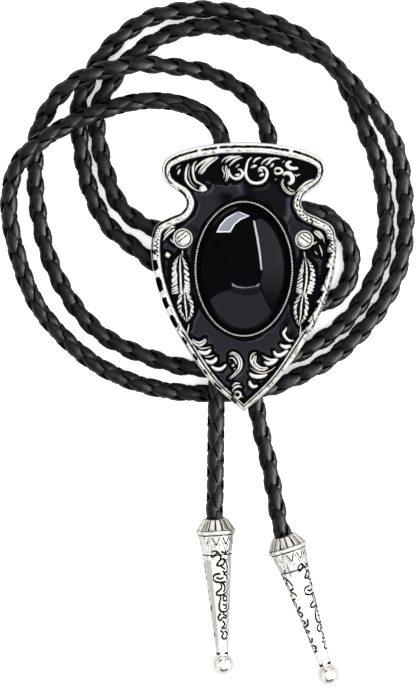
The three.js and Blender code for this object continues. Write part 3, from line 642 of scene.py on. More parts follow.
def chips(at, depth):
    """Large facets with a stepped inner edge on the right flank and small scoops on the left one: how far the
    rim sinks there, and how black it is."""
    facet = 4.3
    chip = at.run / facet + 0.3 * jitter(at.run, facet, 3)
    part = chip - np.floor(chip)
    tilt = chance(chip, -1, 1, 8)
    right = (1 - at.left) * at.flank
    rough = 0.05 * at.top * jitter(at.run + 2.1 * at.share, 0.6, 14) * (1 - 0.6 * right)
    scoop = at.flank * at.top * (0.5 + 0.45 * tilt * (2 * part - 1) - 0.45 * np.sin(np.pi * part))
    reach = 0.96 - 0.5 * part**0.8 + 0.05 * jitter(at.run, 0.5, 15)
    broken = right * (1 - at.low) * smooth(reach, reach + 0.1, at.share) * (at.share < 0.98)
    seam = np.maximum(near(0.02, 0.06, part - 0.5 * at.share), 0.7 * near(0.03, 0.07, at.share - 0.08))
    black = np.maximum(broken * (0.9 + 0.1 * jitter(at.run + 3 * at.share, 0.5, 16)),
                       0.75 * seam * right * at.top * (1 - at.low))
    return depth * scoop - rough + 0.9 * broken, black


def sunk_patches(at):
    """Black patches one after another on the left flank."""
    spacing = 4.6
    spot = at.run / spacing + 0.12 * jitter(at.run, spacing, 9) + 0.12 * at.share
    size = chance(spot, 0.75, 1.05, 17)
    aside = np.abs(spot - np.floor(spot) - 0.5) / ((0.36 - 0.14 * at.low) * size)
    across = np.abs(at.share - 0.29) / ((0.3 - 0.12 * at.low) * size)
    edge = (aside**3 + across**3) ** (1 / 3)
    return 0.85 * near(0.9, 1.05, edge) * at.left * smooth(0.38, 0.42, at.down)


def rim_lines(at):
    """A black line along the left side, and a broken one along the right side of the point."""
    line = near(0.04, 0.09, at.share - 0.12) * at.left * between((0.17, 0.2), (0.44, 0.5), at.down)
    ridge = near(0.03, 0.07, at.share - 0.35) * smooth(0.2, 0.5, jitter(at.run, 1.3, 10)) * at.low
    return np.maximum(0.9 * line * at.top, 0.55 * ridge * (1 - at.left))


def punched_dots(at):
    """Two columns of dots on the shoulders, and a few in the right notch."""
    spacing = 0.95
    shoulder = between((0.3, 0.32), (0.42, 0.44), at.down)
    notch = between((0.2, 0.22), (0.27, 0.29), at.down) * (1 - at.left)
    dots = 0
    for middle, start in ((0.45, 0.0), (0.7, 0.5)):
        punched = at.run / spacing + start + 0.3 * jitter(at.run, 2 * spacing, 11)
        aside = (punched - np.floor(punched) - 0.5) * spacing
        gap = np.hypot(aside, (at.share - middle - 0.05 * jitter(at.run, 1.1, 12)) * RIM_WIDTH)
        dots = np.maximum(dots, near(0.14, 0.3, gap))
    return 0.95 * dots * np.maximum(shoulder, notch) * at.top


def wear(at):
    """Tarnish: mottled ears, and a little everywhere else."""
    ear = between((0.05, 0.08), (0.15, 0.19), at.down) * smooth(0.4, 0.5, at.share)
    worn = jitter(at.run + 4 * at.share, 0.8, 24) + 0.5 * jitter(at.run - 3 * at.share, 2.3, 25)
    return (0.27 + at.flank * (0.25 * at.left - 0.12) + 0.22 * ear) * smooth(0.1, 0.7, worn) * at.top


class SlideOperator(bpy.types.Operator):
    """Back plate and raised rim of the slide"""

    bl_idname = "bolo.slide"
    bl_label = "Slide Plate and Rim"

    def execute(self, context):
        settings = context.scene.bolo_slide
        bm = bmesh.new()
        steps = 1440
        places, length = evenly(outline(0), steps + 1)

        def rim(u, v):
            t = np.interp(u, np.linspace(0, 1, len(places)), places)
            outer, inner = spline(outline(0), t), spline(outline(RIM_WIDTH), t)
            down = (SLIDE_TOP - outer[:, 1]) / SLIDE_HEIGHT
            low = smooth(0.69, 0.73, down)
            sections = (section(rows, v) for rows in (RIM_TOP, RIM_POINT))
            share, height, black = (upper * (1 - low) + lower * low for upper, lower in zip(*sections))
            # Millimetres round the rim, share of its width, share of the height down the slide, and how much
            # each point belongs to the rim's top face, the left side, the flanks and the point
            at = SimpleNamespace(run=u * length, share=share, down=down, top=smooth(2.0, 2.5, height),
                                 left=smooth(0.49, 0.51, u), flank=smooth(0.33, 0.38, down), low=low)
            filled = missing_groove(at)
            move = np.interp(down, *zip(*GROOVE_MOVE)) + 0.025 * jitter(at.run, 0.45, 7)
            at.share = share + move * (1 - low) * np.sin(np.pi * np.clip(share, 0, 1))
            sunk, chipped = chips(at, settings.scallop / MM)
            black = np.maximum.reduce([black * (1 - filled), chipped, sunk_patches(at), rim_lines(at),
                                       punched_dots(at), wear(at)])
            xy = outer + (inner - outer) * at.share[:, None]
            return xy[:, 0], xy[:, 1], SLIDE_BACK + height + 0.25 * filled - sunk, black

        patch(bm, steps, len(RIM_TOP) - 1, rim)
        plate(bm, 0.5, SLIDE_BACK + 0.05, PLATE_TOP, 1.0)
        piece(bm, "slide_rim_and_plate", cast_silver(settings), "antiqued_silver", "slide_casting")
        return {"FINISHED"}


def outline(inset):
    """Points of the slide's outline moved inwards, from the point round its right side and back to it. The
    point is a corner and moves further than its flanks do."""
    right = [(place(across, down), inset * rim) for across, down, rim in OUTLINE]
    left = [(np.array([-at[0], at[1]]), move) for at, move in right[1:-1]]
    rows = right[::-1] + left
    flank = unit(rows[1][0] - rows[0][0])
    points = [rows[0][0] + (0, rows[0][1] / flank[0])]
    for i in range(1, len(rows)):
        along = unit(rows[(i + 1) % len(rows)][0] - rows[i - 1][0])
        points.append(rows[i][0] + np.array([-along[1], along[0]]) * rows[i][1])
    return points + [points[0]]


def plate(target, share, bottom, top, black):
    """Adds a flat plate inside the slide's outline, between two levels, to a bmesh."""
    corners = 240
    at, _ = evenly(outline(0), corners + 1)
    edge = spline(outline(0), at) * (1 - share) + spline(outline(RIM_WIDTH), at) * share
    bm = bmesh.new()
    recess = bm.verts.layers.float.new("recess")
    ring = [bm.verts.new((x * MM, y * MM, bottom * MM)) for x, y in edge[:-1]]
    face = bm.faces.new(ring)
    grown = bmesh.ops.extrude_face_region(bm, geom=[face])
    raised = [v for v in grown["geom"] if isinstance(v, bmesh.types.BMVert)]
    bmesh.ops.translate(bm, verts=raised, vec=(0, 0, (top - bottom) * MM))
    for vert in raised:
        vert[recess] = black
    bmesh.ops.triangulate(bm, faces=bm.faces)
    bmesh.ops.recalc_face_normals(bm, faces=bm.faces)
    join(target, bm)


def oval(margin, angle):
    """Points on the stone's outline, moved outwards."""
    x = STONE_CENTRE[0] + (STONE_WIDTH / 2 + margin) * np.cos(angle)
    y = STONE_CENTRE[1] + (STONE_LENGTH / 2 + margin) * np.sin(angle)
    return x, y


# Section of the setting. Columns: distance outwards from the stone, height above the plate, blackening.
BEZEL = [
    (0.35, -0.3, 1), (0.34, 1.45, 1), (0.36, 1.65, 0.4), (0.42, 1.8, 0), (0.5, 1.86, 0), (0.64, 1.86, 0),
    (0.73, 1.78, 0), (0.79, 1.6, 0.2), (0.8, 1.4, 0.8), (0.8, -0.3, 1), (0.35, -0.3, 1),
]


class SettingOperator(bpy.types.Operator):
    """Beaded ring that holds the stone"""

    bl_idname = "bolo.setting"
    bl_label = "Stone Setting"

    def execute(self, context):
        settings = context.scene.bolo_slide
        steps_per_bead = 6
        bm = bmesh.new()

        def ring(u, v):
            angle = 2 * np.pi * u
            margin, height, black = section(BEZEL, v)
            bead = np.abs(np.sin(settings.beads * angle / 2)) ** 0.7
            top = smooth(1.3, 1.6, height)
            x, y = oval(margin, angle)
            gap = top * (1 - bead)
            return x, y, PLATE_TOP + height - 0.2 * gap, np.maximum(black, 0.75 * gap)

        patch(bm, settings.beads * steps_per_bead, len(BEZEL) - 1, ring)
        piece(bm, "stone_setting", cast_silver(settings), "antiqued_silver", "slide_casting")
        return {"FINISHED"}


class StoneOperator(bpy.types.Operator):
    """Domed oval stone"""

    bl_idname = "bolo.stone"
    bl_label = "Stone"

    def execute(self, context):
        bm = bmesh.new()
        rings, steps = 49, 128
        radius = STONE_WIDTH / 2
        bends = [(0, 0), (radius - 0.15, 0), (radius, 0.15), (radius, GIRDLE - 0.1)]
        dome = STONE_HEIGHT - GIRDLE
        bends += [(radius * math.cos(a), GIRDLE + dome * math.sin(a))
                  for a in np.linspace(0, math.pi / 2, rings)]
        chain = [bm.verts.new((x * MM, 0, z * MM)) for x, z in bends]
        edges = [bm.edges.new(pair) for pair in zip(chain, chain[1:])]
        bmesh.ops.spin(bm, geom=chain + edges, cent=(0, 0, 0), axis=(0, 0, 1), angle=2 * math.pi, steps=steps,
                       use_merge=True, use_duplicate=False)
        bmesh.ops.remove_doubles(bm, verts=bm.verts, dist=1e-6)
        recess = bm.verts.layers.float.new("recess")
        # The gloss fades towards the girdle, apart from a short arc at the upper left
        for vert in bm.verts:
            out = vert.co.xy.length / (radius * MM)
            angle = math.degrees(math.atan2(vert.co.y, vert.co.x))
            shining = near(0.015, 0.03, out - 0.962) * between((97, 104), (128, 137), angle)
            low = smooth(0.5, 0.9, -math.sin(math.radians(angle)))
            vert[recess] = float(smooth(0.865 + 0.06 * low, 0.905 + 0.045 * low, out) * (1 - shining))
        bmesh.ops.scale(bm, verts=bm.verts, vec=(1, STONE_LENGTH / STONE_WIDTH, 1))
        bmesh.ops.translate(bm, verts=bm.verts, vec=[c * MM for c in (*STONE_CENTRE, PLATE_TOP)])
        bmesh.ops.recalc_face_normals(bm, faces=bm.faces)
        piece(bm, "onyx_cabochon", onyx(context.scene.bolo_slide), "black_stone", "cabochon")
        return {"FINISHED"}


class EnamelOperator(bpy.types.Operator):
    """Enamel floor between the rim, the setting and the raised work"""

    bl_idname = "bolo.enamel"
    bl_label = "Enamel"

    def execute(self, context):
        settings = context.scene.bolo_slide
        rows, columns = 300, 210
        # The floor reaches a little under the rim
        ring = spline(outline(RIM_WIDTH * 0.93), np.linspace(0, len(OUTLINE) - 1, 600))
        ring = ring[np.argsort(ring[:, 1])]
        metal = metalwork(settings.stroke_scale)
        tree = KDTree(len(metal))
        for i, (x, y, _) in enumerate(metal):
            tree.insert((x, y, 0), i)
        tree.balance()

        def floor(u, v):
            top, across = slab(v, columns)
            top = top & (u > 0) & (u < 1)
            y = ring[0, 1] + (ring[-1, 1] - ring[0, 1]) * u
            x = across * np.interp(y, ring[:, 1], ring[:, 0])
            found = [tree.find((px, py, 0)) for px, py in zip(x, y)]
            gap = np.array([distance - metal[i][2] for _, i, distance in found])
            gap = gap + 0.25 * jitter(x + 0.7 * y, 2.3, 31) + 0.2 * jitter(y - 0.6 * x, 1.7, 32)

            # Slate painted reflection where it lies free of the metal; painted shade, black, near the metal and
            # among the top scrolls, and darker at the upper right
            free = smooth(0.5, 1.1, gap)
            free = free * (1 - smooth(52.6, 53.3, y + 0.5 * jitter(x, 1.6, 34)))
            shade = smooth(-1.5, 2.5, x + 0.3 * y - 14) * (1 - smooth(9, 12, x))
            shade = shade * smooth(9, 13, y - STONE_CENTRE[1])
            z = ENAMEL_TOP - 0.2 + 0.2 * free + 0.05 * jitter(x * 0.8 + y * 0.5, 3.1, 33) * free
            return x, y, np.where(top, z, PLATE_TOP - 0.05), 1 - free * (1 - 0.75 * shade)

        bm = bmesh.new()
        patch(bm, rows, columns, floor)
        piece(bm, "enamel_floor", enamel(settings), "black_enamel", "enamel_inlay")
        return {"FINISHED"}


def metalwork(scale):
    """Points along all metal beside the enamel: x, y and half the width of the metal there."""
    samples = 24
    share = np.linspace(0, 1, samples)
    points = []
    for width, _, blunt, row in STROKES:
        for (x, y), swell in zip(drawn(row)(share), np.sin(np.pi * share)):
            points.append((x, y, width * scale / 2 * (blunt + (1 - blunt) * swell)))
    for x, y in spline(outline(RIM_WIDTH), evenly(outline(0), 600)[0]):
        points.append((x, y, 0.1))
    for x, y in zip(*oval(0.8, np.linspace(0, 2 * math.pi, 300))):
        points.append((x, y, 0.15))
    for left, right, _ in FEATHERS:
        for edge in (left, right):
            edge = [place(*point) for point in edge]
            points += [(x, y, 0.3) for x, y in spline(edge, np.linspace(0, len(edge) - 1, samples))]
    for across, down, radius, _ in ROSETTES:
        points.append((*place(across, down), radius * SLIDE_WIDTH))
    return points


def stroke(target, path, width, height, ridges, blunt, steps):
    """Adds a raised, tapered stroke along a path to a bmesh; path gives points for shares of its length."""
    columns = 16

    def surface(u, v):
        top, across = slab(v, columns)
        swell = np.sin(np.pi * np.clip(u, 0, 1)) ** 0.7
        open_end = np.clip(np.minimum(u, 1 - u) * steps, 0, 1) > 0
        half = width / 2 * (blunt + (1 - blunt) * swell) * open_end
        here, ahead = path(u), unit(path(u + 0.01) - path(u - 0.01))
        wave = np.abs(np.cos(np.pi * ridges * across / 2 + (0 if ridges % 2 else np.pi / 2)))
        crown = 0.75 + 0.25 * wave if ridges > 1 else 0.7 + 0.3 * np.sqrt(np.clip(1 - across**2, 0, 1))
        rise = height * (0.45 + 0.55 * swell**0.5) * open_end
        z = PLATE_TOP - ROOT + np.where(top, rise * crown, 0)
        x = here[:, 0] - ahead[:, 1] * half * across
        y = here[:, 1] + ahead[:, 0] * half * across
        groove = (1 - wave) ** 2 * (ridges > 1) * (np.abs(across) < 0.95)
        black = np.where(top, np.maximum(groove, 0.8 * smooth(0.86, 1, np.abs(across))), 1.0)
        return x, y, z, black

    patch(target, steps, columns, surface)


def drawn(points):
    """Path of a stroke through its points."""
    points = [(x, SLIDE_TOP - down) for x, down in points]
    return lambda t: spline(points, t * (len(points) - 1))


class LeafOperator(bpy.types.Operator):
    """Raised scrolls and leaves above and below the stone"""

    bl_idname = "bolo.leaves"
    bl_label = "Leaf Work"

    def execute(self, context):
        settings = context.scene.bolo_slide
        bm = bmesh.new()
        for width, ridges, blunt, points in STROKES:
            stroke(bm, drawn(points), width * settings.stroke_scale, settings.relief / MM + ROOT, ridges, blunt,
                   6 * len(points))
        piece(bm, "leaf_work", cast_silver(settings), "antiqued_silver", "slide_casting")
        return {"FINISHED"}


class FeatherOperator(bpy.types.Operator):
    """Feathers beside the stone"""

    bl_idname = "bolo.feathers"
    bl_label = "Feathers"

    def execute(self, context):
        bm = bmesh.new()
        settings = context.scene.bolo_slide
        high = settings.relief / MM + ROOT
        rows, columns = 96, 32
        for number, (left, right, barbs) in enumerate(FEATHERS):
            edges = [np.array([place(*point) for point in side]) for side in (left, right)]

            def feather(u, v):
                top, across = slab(v, columns)
                reach = np.abs(across)
                phase = u * barbs - 1.1 * reach + 0.18 * jitter(u * barbs + 40 * (across > 0), 1.3, number)
                slit = smooth(0.62, 0.95, 0.5 - 0.5 * np.cos(2 * np.pi * phase))
                ragged = 1 - 0.12 * smooth(0.6, 1, reach) * slit
                a, b = (spline(edge, u * (len(edge) - 1)) for edge in edges)
                middle = (a + b) / 2
                shut = (u > 0) & (u < 1)
                xy = middle + (b - a) / 2 * (across * ragged * shut)[:, None]
                quill = near(0.05, 0.12, reach)
                hollow = np.sin(np.pi * u) if number % 2 else 1 - u
                wide = 0.2 + 0.3 * hollow + 0.08 * jitter(u * barbs * 2 + 9 * across, 1.0, number + 30)
                cut = between((0.1, 0.16), (wide, wide + 0.1), reach)
                rise = high * (0.95 - 0.3 * reach**2 - 0.18 * slit * (1 - quill) - 0.25 * cut)
                z = PLATE_TOP - ROOT + np.where(top, rise * shut, 0)
                lively = smooth(-0.4, 0.4, jitter(u * barbs * 1.3 + 3 * across, 1.0, number + 20))
                black = np.maximum(slit * lively * (1 - quill), 0.9 * cut)
                return xy[:, 0], xy[:, 1], z, np.where(top & (reach < 0.99), black, 1.0)

            patch(bm, rows, columns, feather)
        piece(bm, "feathers", cast_silver(settings), "antiqued_silver", "slide_casting")
        return {"FINISHED"}


# Section of a rosette, from its underside over its edge to its middle. Columns: share of the radius, height
# above the plate, blackening.
ROSETTE_ROWS = [
    (0, -0.2, 1), (0.99, -0.2, 1), (1, 0.9, 0.6), (0.97, 1.15, 0), (0.9, 1.25, 0), (0.83, 1.15, 0.3),
    (0.79, 0.98, 1), (0.74, 1.02, 0.8), (0.68, 1.12, 0), (0.4, 1.36, 0), (0, 1.45, 0),
]


class RosetteOperator(bpy.types.Operator):
    """Domed discs with a rim and slanting bars, above the feathers"""

    bl_idname = "bolo.rosettes"
    bl_label = "Rosettes"

    def execute(self, context):
        bm = bmesh.new()
        steps, steps_round, bar_gap = 4, 72, 0.85
        last = len(ROSETTE_ROWS) - 1
        for across, down, share, turned in ROSETTES:
            centre, radius = place(across, down), share * SLIDE_WIDTH
            turn = math.radians(turned)

            def disc(u, v):
                out, height, black = section(ROSETTE_ROWS, u)
                angle = 2 * np.pi * v
                x, y = out * radius * np.cos(angle), out * radius * np.sin(angle)
                slant = x * math.sin(turn) + y * math.cos(turn)
                inner = near(0.62, 0.7, out) * (u * last > 7)
                bar = smooth(0.62, 0.9, 0.5 + 0.5 * np.cos(2 * np.pi * slant / bar_gap))
                bar = bar * smooth(-0.5, 0.2, slant) * inner
                return (centre[0] + x, centre[1] + y, PLATE_TOP + height - 0.2 * bar,
                        np.maximum(black, 0.95 * bar))

            patch(bm, last * steps, steps_round, disc)
        piece(bm, "rosettes", cast_silver(context.scene.bolo_slide), "antiqued_silver", "slide_casting")
        return {"FINISHED"}


class ClaspOperator(bpy.types.Operator):
    """Plain clasp behind the slide"""

    bl_idname = "bolo.clasp"
    bl_label = "Clasp"

    def execute(self, context):
        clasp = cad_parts["cord_clasp"]
        clasp.data.materials.clear()
        clasp.data.materials.append(stamped_steel())
        return {"FINISHED"}


def tip_frame(across, up, lean):
    """Where a tip's mouth is, its direction, and the two directions square to it: sideways and upwards."""
    turn = math.radians(lean)
    flat = math.cos(TIP_TILT)
    along = np.array([math.sin(turn) * flat, -math.cos(turn) * flat, -math.sin(TIP_TILT)])
    side = unit(np.cross([0, 0, 1], along))
    return np.array([across, up, MOUTH_LEVEL]), along, side, np.cross(along, side)


def cord_line():
    """Points that the cord's middle passes, from inside one tip to inside the other."""
    ends = []
    for _, across, up, lean, _ in TIPS:
        mouth, along, _, _ = tip_frame(across, up, lean)
        ends.append([mouth + along * d for d in (CORD_INSET, 0, -CORD_LEAD)])
    return [*ends[0], *map(np.array, ROUTE), *ends[1][::-1]]


# Section of a strand: flat, with edges that are rolled over. Columns: share of half the width, share of half
# the thickness, painted shade (black at the rolled edges and underneath).
STRAND = [
    (-1, 0, 1), (-0.91, 0.5, 1), (-0.82, 0.8, 1), (-0.76, 0.93, 0), (-0.35, 0.95, 0), (0, 1, 0),
    (0.35, 0.95, 0), (0.76, 0.93, 0), (0.82, 0.8, 1), (0.91, 0.5, 1), (1, 0, 1), (0.7, -0.8, 1), (0, -1, 1),
    (-0.7, -0.8, 1), (-1, 0, 1),
]


class CordOperator(bpy.types.Operator):
    """Cord of four braided leather strands"""

    bl_idname = "bolo.cord"
    bl_label = "Braided Cord"

    def execute(self, context):
        settings = context.scene.bolo_cord
        points = cord_line()
        line_steps, strand_steps = 1800, 1720
        at, length = evenly(points, line_steps)
        line = spline(points, at)
        ahead = unit(np.gradient(line, axis=0))
        side = unit(np.cross(ahead, [0, 0, 1]))
        up = np.cross(side, ahead)
        run = np.linspace(0, length, len(line))
        twist = np.radians(np.interp(run, (70, 230), (-15, 40)) + 15 * jitter(run, 70, 4))
        pitch, width, thick = (getattr(settings, k) / MM for k in ("pitch", "strand_width", "strand_thickness"))
        # How far a strand's middle lies from the cord's, below the others and on top, and the way round there
        inside, outside = 0.9, CORD_DIAMETER / 2 + CORD_SWELL - thick / 2
        way_round = 10.0
        rows = np.arange(len(line))
        bm = bmesh.new()

        def strand(u, v, turn, start):
            # Over and under the other strands twice in a full turn, a little longer over than under, and slower
            # round the cord while over
            phase = 2 * np.pi * u * length / pitch
            lift = np.clip(1.5 * np.cos(2 * phase) * turn + 0.35, -1, 1)
            middle = inside + (outside - inside) * (0.5 + 0.5 * lift)
            slow = settings.float_slowness * np.sin(2 * phase) * turn
            lean = np.arctan(way_round / pitch * (1 - 2 * settings.float_slowness * np.cos(2 * phase) * turn))
            half, face, seam = section(STRAND, v)
            across = half * width / 2
            here = np.clip(u * length - across * np.sin(lean), 0, length) / length * (len(line) - 1)
            angle = start + turn * (phase - slow + across * np.cos(lean) / np.maximum(middle, 1.1))
            radius = (middle + face * thick / 2 - 0.15 * half**2) * ((u > 0) & (u < 1))
            base, aside, above, turned = (
                np.stack([np.interp(here, rows, values[:, k]) for k in range(values.shape[1])], axis=1)
                for values in (line, side, up, twist[:, None]))
            angle = angle + turned[:, 0]
            x, y, z = (base + aside * (radius * np.cos(angle))[:, None]
                       + above * (radius * np.sin(angle))[:, None]).T
            return x, y, np.maximum(z, 0), seam

        # Two strands turn one way and two the other
        for turn in (1, -1):
            for start in (0.25, 1.25):
                patch(bm, strand_steps, len(STRAND) - 1, lambda u, v: strand(u, v, turn, start * math.pi))
        cord = piece(bm, "braided_leather_cord", leather(settings), "black_leather", "braided_cord")
        return {"FINISHED"}


# A tip's outside, from the bottom of its socket to its ball.
# Columns: length along from the mouth, radius, blackening, how much the section shows flutes.
TIP_ROWS = [
    (8, 0, 1, 0), (8, 2.3, 1, 0), (0, 2.3, 1, 0), (0, 2.6, 0.2, 0), (0.15, 2.95, 0, 0.6), (0.6, 3.25, 0, 1),
    (1.5, 3.85, 0, 1), (2.3, 4.35, 0, 1), (2.5, 4.42, 0.9, 0), (2.62, 4.55, 0, 0), (2.85, 4.65, 0, 0),
    (3.2, 4.65, 0, 0), (3.42, 4.55, 0, 0), (3.5, 4.2, 1, 0), (3.7, 4.15, 0.6, 0), (3.9, 4.15, 0, 0),
    (7.95, 3.42, 0, 0), (8.12, 3.36, 0.8, 0), (8.24, 3.36, 0.8, 0), (8.4, 3.48, 0, 0), (8.7, 3.4, 0, 0),
    (30.6, 1.5, 0, 0), (31.3, 1.42, 0.9, 0),
]
NECK_RADIUS = 1.4
# Step of the mesh along that section
TIP_STEP = 0.12


class TipOperator(bpy.types.Operator):
    """Two fluted and engraved conical tips"""

    bl_idname = "bolo.tips"
    bl_label = "Tips"

    def execute(self, context):
        settings = context.scene.bolo_tips
        metal = silver("polished_engraved_silver", settings.silver_colour,
                       context.scene.bolo_slide.blackening, 0.2, 0.3)
        ball_rows, steps_round = 14, 208
        for name, across, height, lean, turned in TIPS:
            mouth, along, side, up = tip_frame(across, height, lean)
            bm = bmesh.new()
            ball = np.linspace(math.asin(NECK_RADIUS / BALL_RADIUS), math.pi, ball_rows)
            rows = TIP_ROWS + [(BALL_ALONG - BALL_RADIUS * math.cos(angle), BALL_RADIUS * math.sin(angle), 0, 0)
                               for angle in ball]
            counts = [max(1, round(math.dist(a[:2], b[:2]) / TIP_STEP)) for a, b in zip(rows, rows[1:])]
            steps = np.cumsum([0, *counts])

            def surface(u, v):
                reach, radius, black, fluted = section(rows, u, steps)
                angle = 2 * np.pi * v
                notch = np.abs(np.sin(settings.flutes * angle / 2))
                # Painted shade: the flutes' black is wider, and the zigzag band darker, on the tip's right side
                right = smooth(-0.7, 0.5, np.sin(angle))
                gap = near(0.16 + 0.2 * right, 0.32 + 0.2 * right, notch)
                radius = radius - 0.22 * fluted * gap
                black = np.maximum(black, 0.9 * gap * fluted)
                flats = np.pi / 6  # twelve flats round the tip
                panel = between((8.8, 9.6), (28, 31), reach)
                flat = math.cos(flats / 2) / np.cos((angle - math.radians(turned)) % flats - flats / 2)
                radius = radius * (1 + panel * (flat - 1))
                lines = engraving(reach, angle - math.radians(turned), radius)
                # Painted shade: the neck's black shows only at the tip's sides
                aside = smooth(0.2, 0.5, np.abs(np.sin(angle)))
                black = black * np.where((reach > 30.8) & (radius < 1.6), aside, 1)
                radius = radius - settings.engraving / MM * lines
                black = np.maximum(black, lines * np.where(reach < 8, 0.4 + 0.6 * right, 1))
                radius = np.maximum(radius, 0)
                xyz = (mouth + np.outer(reach, along) + np.outer(radius * np.sin(angle), side)
                       + np.outer(radius * np.cos(angle), up))
                return xyz[:, 0], xyz[:, 1], xyz[:, 2], black

            patch(bm, int(steps[-1]), steps_round, surface)
            piece(bm, name + "_engraved", metal, "tip_silver", name)
        return {"FINISHED"}


# One engraved panel of a tip, as lines on the unrolled cone. Each line is a row of points: millimetres sideways
# from the middle of the panel, and along from the tip's mouth.
VINE = [
    [(-3.64, 8.4), (-3.38, 7.62), (-2.78, 7.21), (-2.08, 7.4), (-2.4, 8.04), (-3.13, 8.59), (-3.64, 8.4)],
    [(-2.08, 7.4), (-1.39, 8.23), (-1.24, 9.15), (-1.86, 9.98), (-2.08, 10.53), (-1.44, 10.73), (-0.86, 10.53)],
    [(-1.3, 9.42), (-0.65, 9.15), (-0.23, 9.7), (-0.55, 10.53)],
    [(-1.02, 7.48), (-0.04, 7.84), (0.83, 7.4)],
    [(-0.23, 9.29), (0.51, 10.4), (0.81, 11.37)],
    [(-1, 10.95), (-0.22, 11.5)],
    [(-0.64, 12), (-0.22, 12.39), (0.72, 12.06)],
    [(-1.43, 12.56), (-2.4, 12.67), (-3.03, 13.22), (-2.97, 13.94), (-2.25, 14.41), (-1.13, 14.61),
     (0.13, 14.55)],
    [(-2.06, 13.44), (-1.42, 13.78), (-0.63, 13.5)],
    [(-0.38, 12.75), (0.4, 13.17), (0.83, 13.86)],
    [(-1.22, 14.83), (-0.93, 15.66), (-1.41, 16.35), (-2.16, 16.91), (-2.15, 17.46), (-1.4, 17.6)],
    [(-0.63, 14.83), (-0.11, 15.8), (-0.44, 16.77)],
    [(-1.12, 17.6), (-0.21, 17.32), (0.66, 16.63)],
    [(-0.62, 18.49), (-0.43, 17.88), (0.26, 17.93), (0.5, 18.57), (-0.03, 18.99), (-0.55, 18.85)],
    [(-1.2, 18.02), (-1.47, 19.27), (-1.58, 20.51), (-1.18, 21.34), (-0.2, 21.54), (0.9, 21.07), (1.26, 20.1)],
    [(-0.61, 19.82), (0.04, 20.04), (0.42, 20.51), (-0.2, 20.79)],
    [(-1.29, 21.9), (-1.84, 22.73), (-1.37, 23.48), (-0.6, 22.73), (0.16, 23.15)],
    [(-0.6, 22.04), (0.57, 22.73)],
    [(-0.72, 23.7), (-0.19, 24.39), (-0.94, 25.23), (0.05, 25.31), (0.58, 24.53)],
    [(-1.16, 25.92), (-0.59, 26.53), (-0.98, 27.3), (-0.49, 27.86), (0.46, 27.58)],
    [(-0.19, 26.06), (0.76, 26.75), (0.29, 27.08)],
]
# How often the vine comes round a tip, and the teeth of the zigzag band above it
PANELS = 3
TEETH = 10


def engraving(reach, angle, radius):
    """How deep the engraved lines of a tip are at points along it and round it, from 0 to 1."""
    band = between((4.0, 4.1), (7.5, 7.7), reach)
    level = (reach - 4.6) / 2.8
    tooth = np.abs((angle * TEETH / (2 * np.pi)) % 1 * 2 - 1)
    zigzag = near(0.1, 0.2, level - tooth)
    small = near(0.08, 0.17, level - tooth + 0.5) * (level < 0.45)
    turn = 2 * np.pi / PANELS
    sideways = ((angle + turn / 2) % turn - turn / 2) * radius
    here = np.stack([sideways, reach], axis=1)
    nearest = np.full(len(here), np.inf)
    for row in VINE:
        row = spline(row, np.linspace(0, len(row) - 1, 3 * len(row) - 2)) if len(row) > 2 else np.array(row)
        for start, end in zip(row, row[1:]):
            chord = np.subtract(end, start)
            share = np.clip((here - start) @ chord / (chord @ chord), 0, 1)
            nearest = np.minimum(nearest, np.linalg.norm(here - start - share[:, None] * chord, axis=1))
    return np.maximum(band * np.maximum(0.5 * zigzag, small), near(0.14, 0.28, nearest))


# The middle of the picture, at half the tie's height in millimetres, and the picture's height in pixels
LOOKED_AT = (-8.22, 16.1, 8.0)
PICTURE_HEIGHT = 689
# Where the soft lights point, in metres, and the mark of a card whose light doesn't fade
AIM = (0, 0.02, 0.01)
UNFADED = -99

# Soft lights. Columns: name, which pieces they light, place and size in metres, radiance.
LIGHTS = [
    ("silver_overhead", "silver", (0.1, 0.1, 0.85), (1.7, 1.7), 1.02),
    ("silver_right", "silver", (0.95, 0, 0.42), (1.6, 0.6), 1.2),
    ("silver_left", "silver", (-0.95, 0, 0.42), (1.6, 0.6), 0.45),
    ("silver_top", "silver", (0, 1.0, 0.42), (1.6, 0.6), 0.9),
    ("silver_bottom", "silver", (0, -0.95, 0.38), (1.6, 0.5), 0.6),
    ("tips_overhead", "tips", (0.15, -0.1, 0.85), (2.0, 2.0), 0.98),
    ("tips_right", "tips", (0.95, 0, 0.42), (1.6, 0.7), 1.15),
    ("tips_left", "tips", (-0.95, 0, 0.47), (1.6, 0.7), 0.85),
    ("tips_low_left", "tips", (-0.65, -0.75, 0.32), (0.7, 0.5), 0.9),
    ("tips_low_right", "tips", (0.9, -0.4, 0.32), (0.8, 0.5), 0.9),
    ("tips_top", "tips", (0, 0.9, 0.42), (1.6, 0.6), 0.85),
    ("leather_overhead", "leather", (0, 0.1, 0.85), (1.2, 1.2), 0.3),
    ("leather_sheen", "leather", (0.4, -0.1, 0.75), (1.2, 0.3), 2.5),
    ("leather_right", "leather", (0.75, -0.25, 0.38), (1.2, 0.25), 15.0),
    ("enamel_left", "enamel", (-0.5, 0.4, 0.8), (0.9, 0.9), 1.1),
]

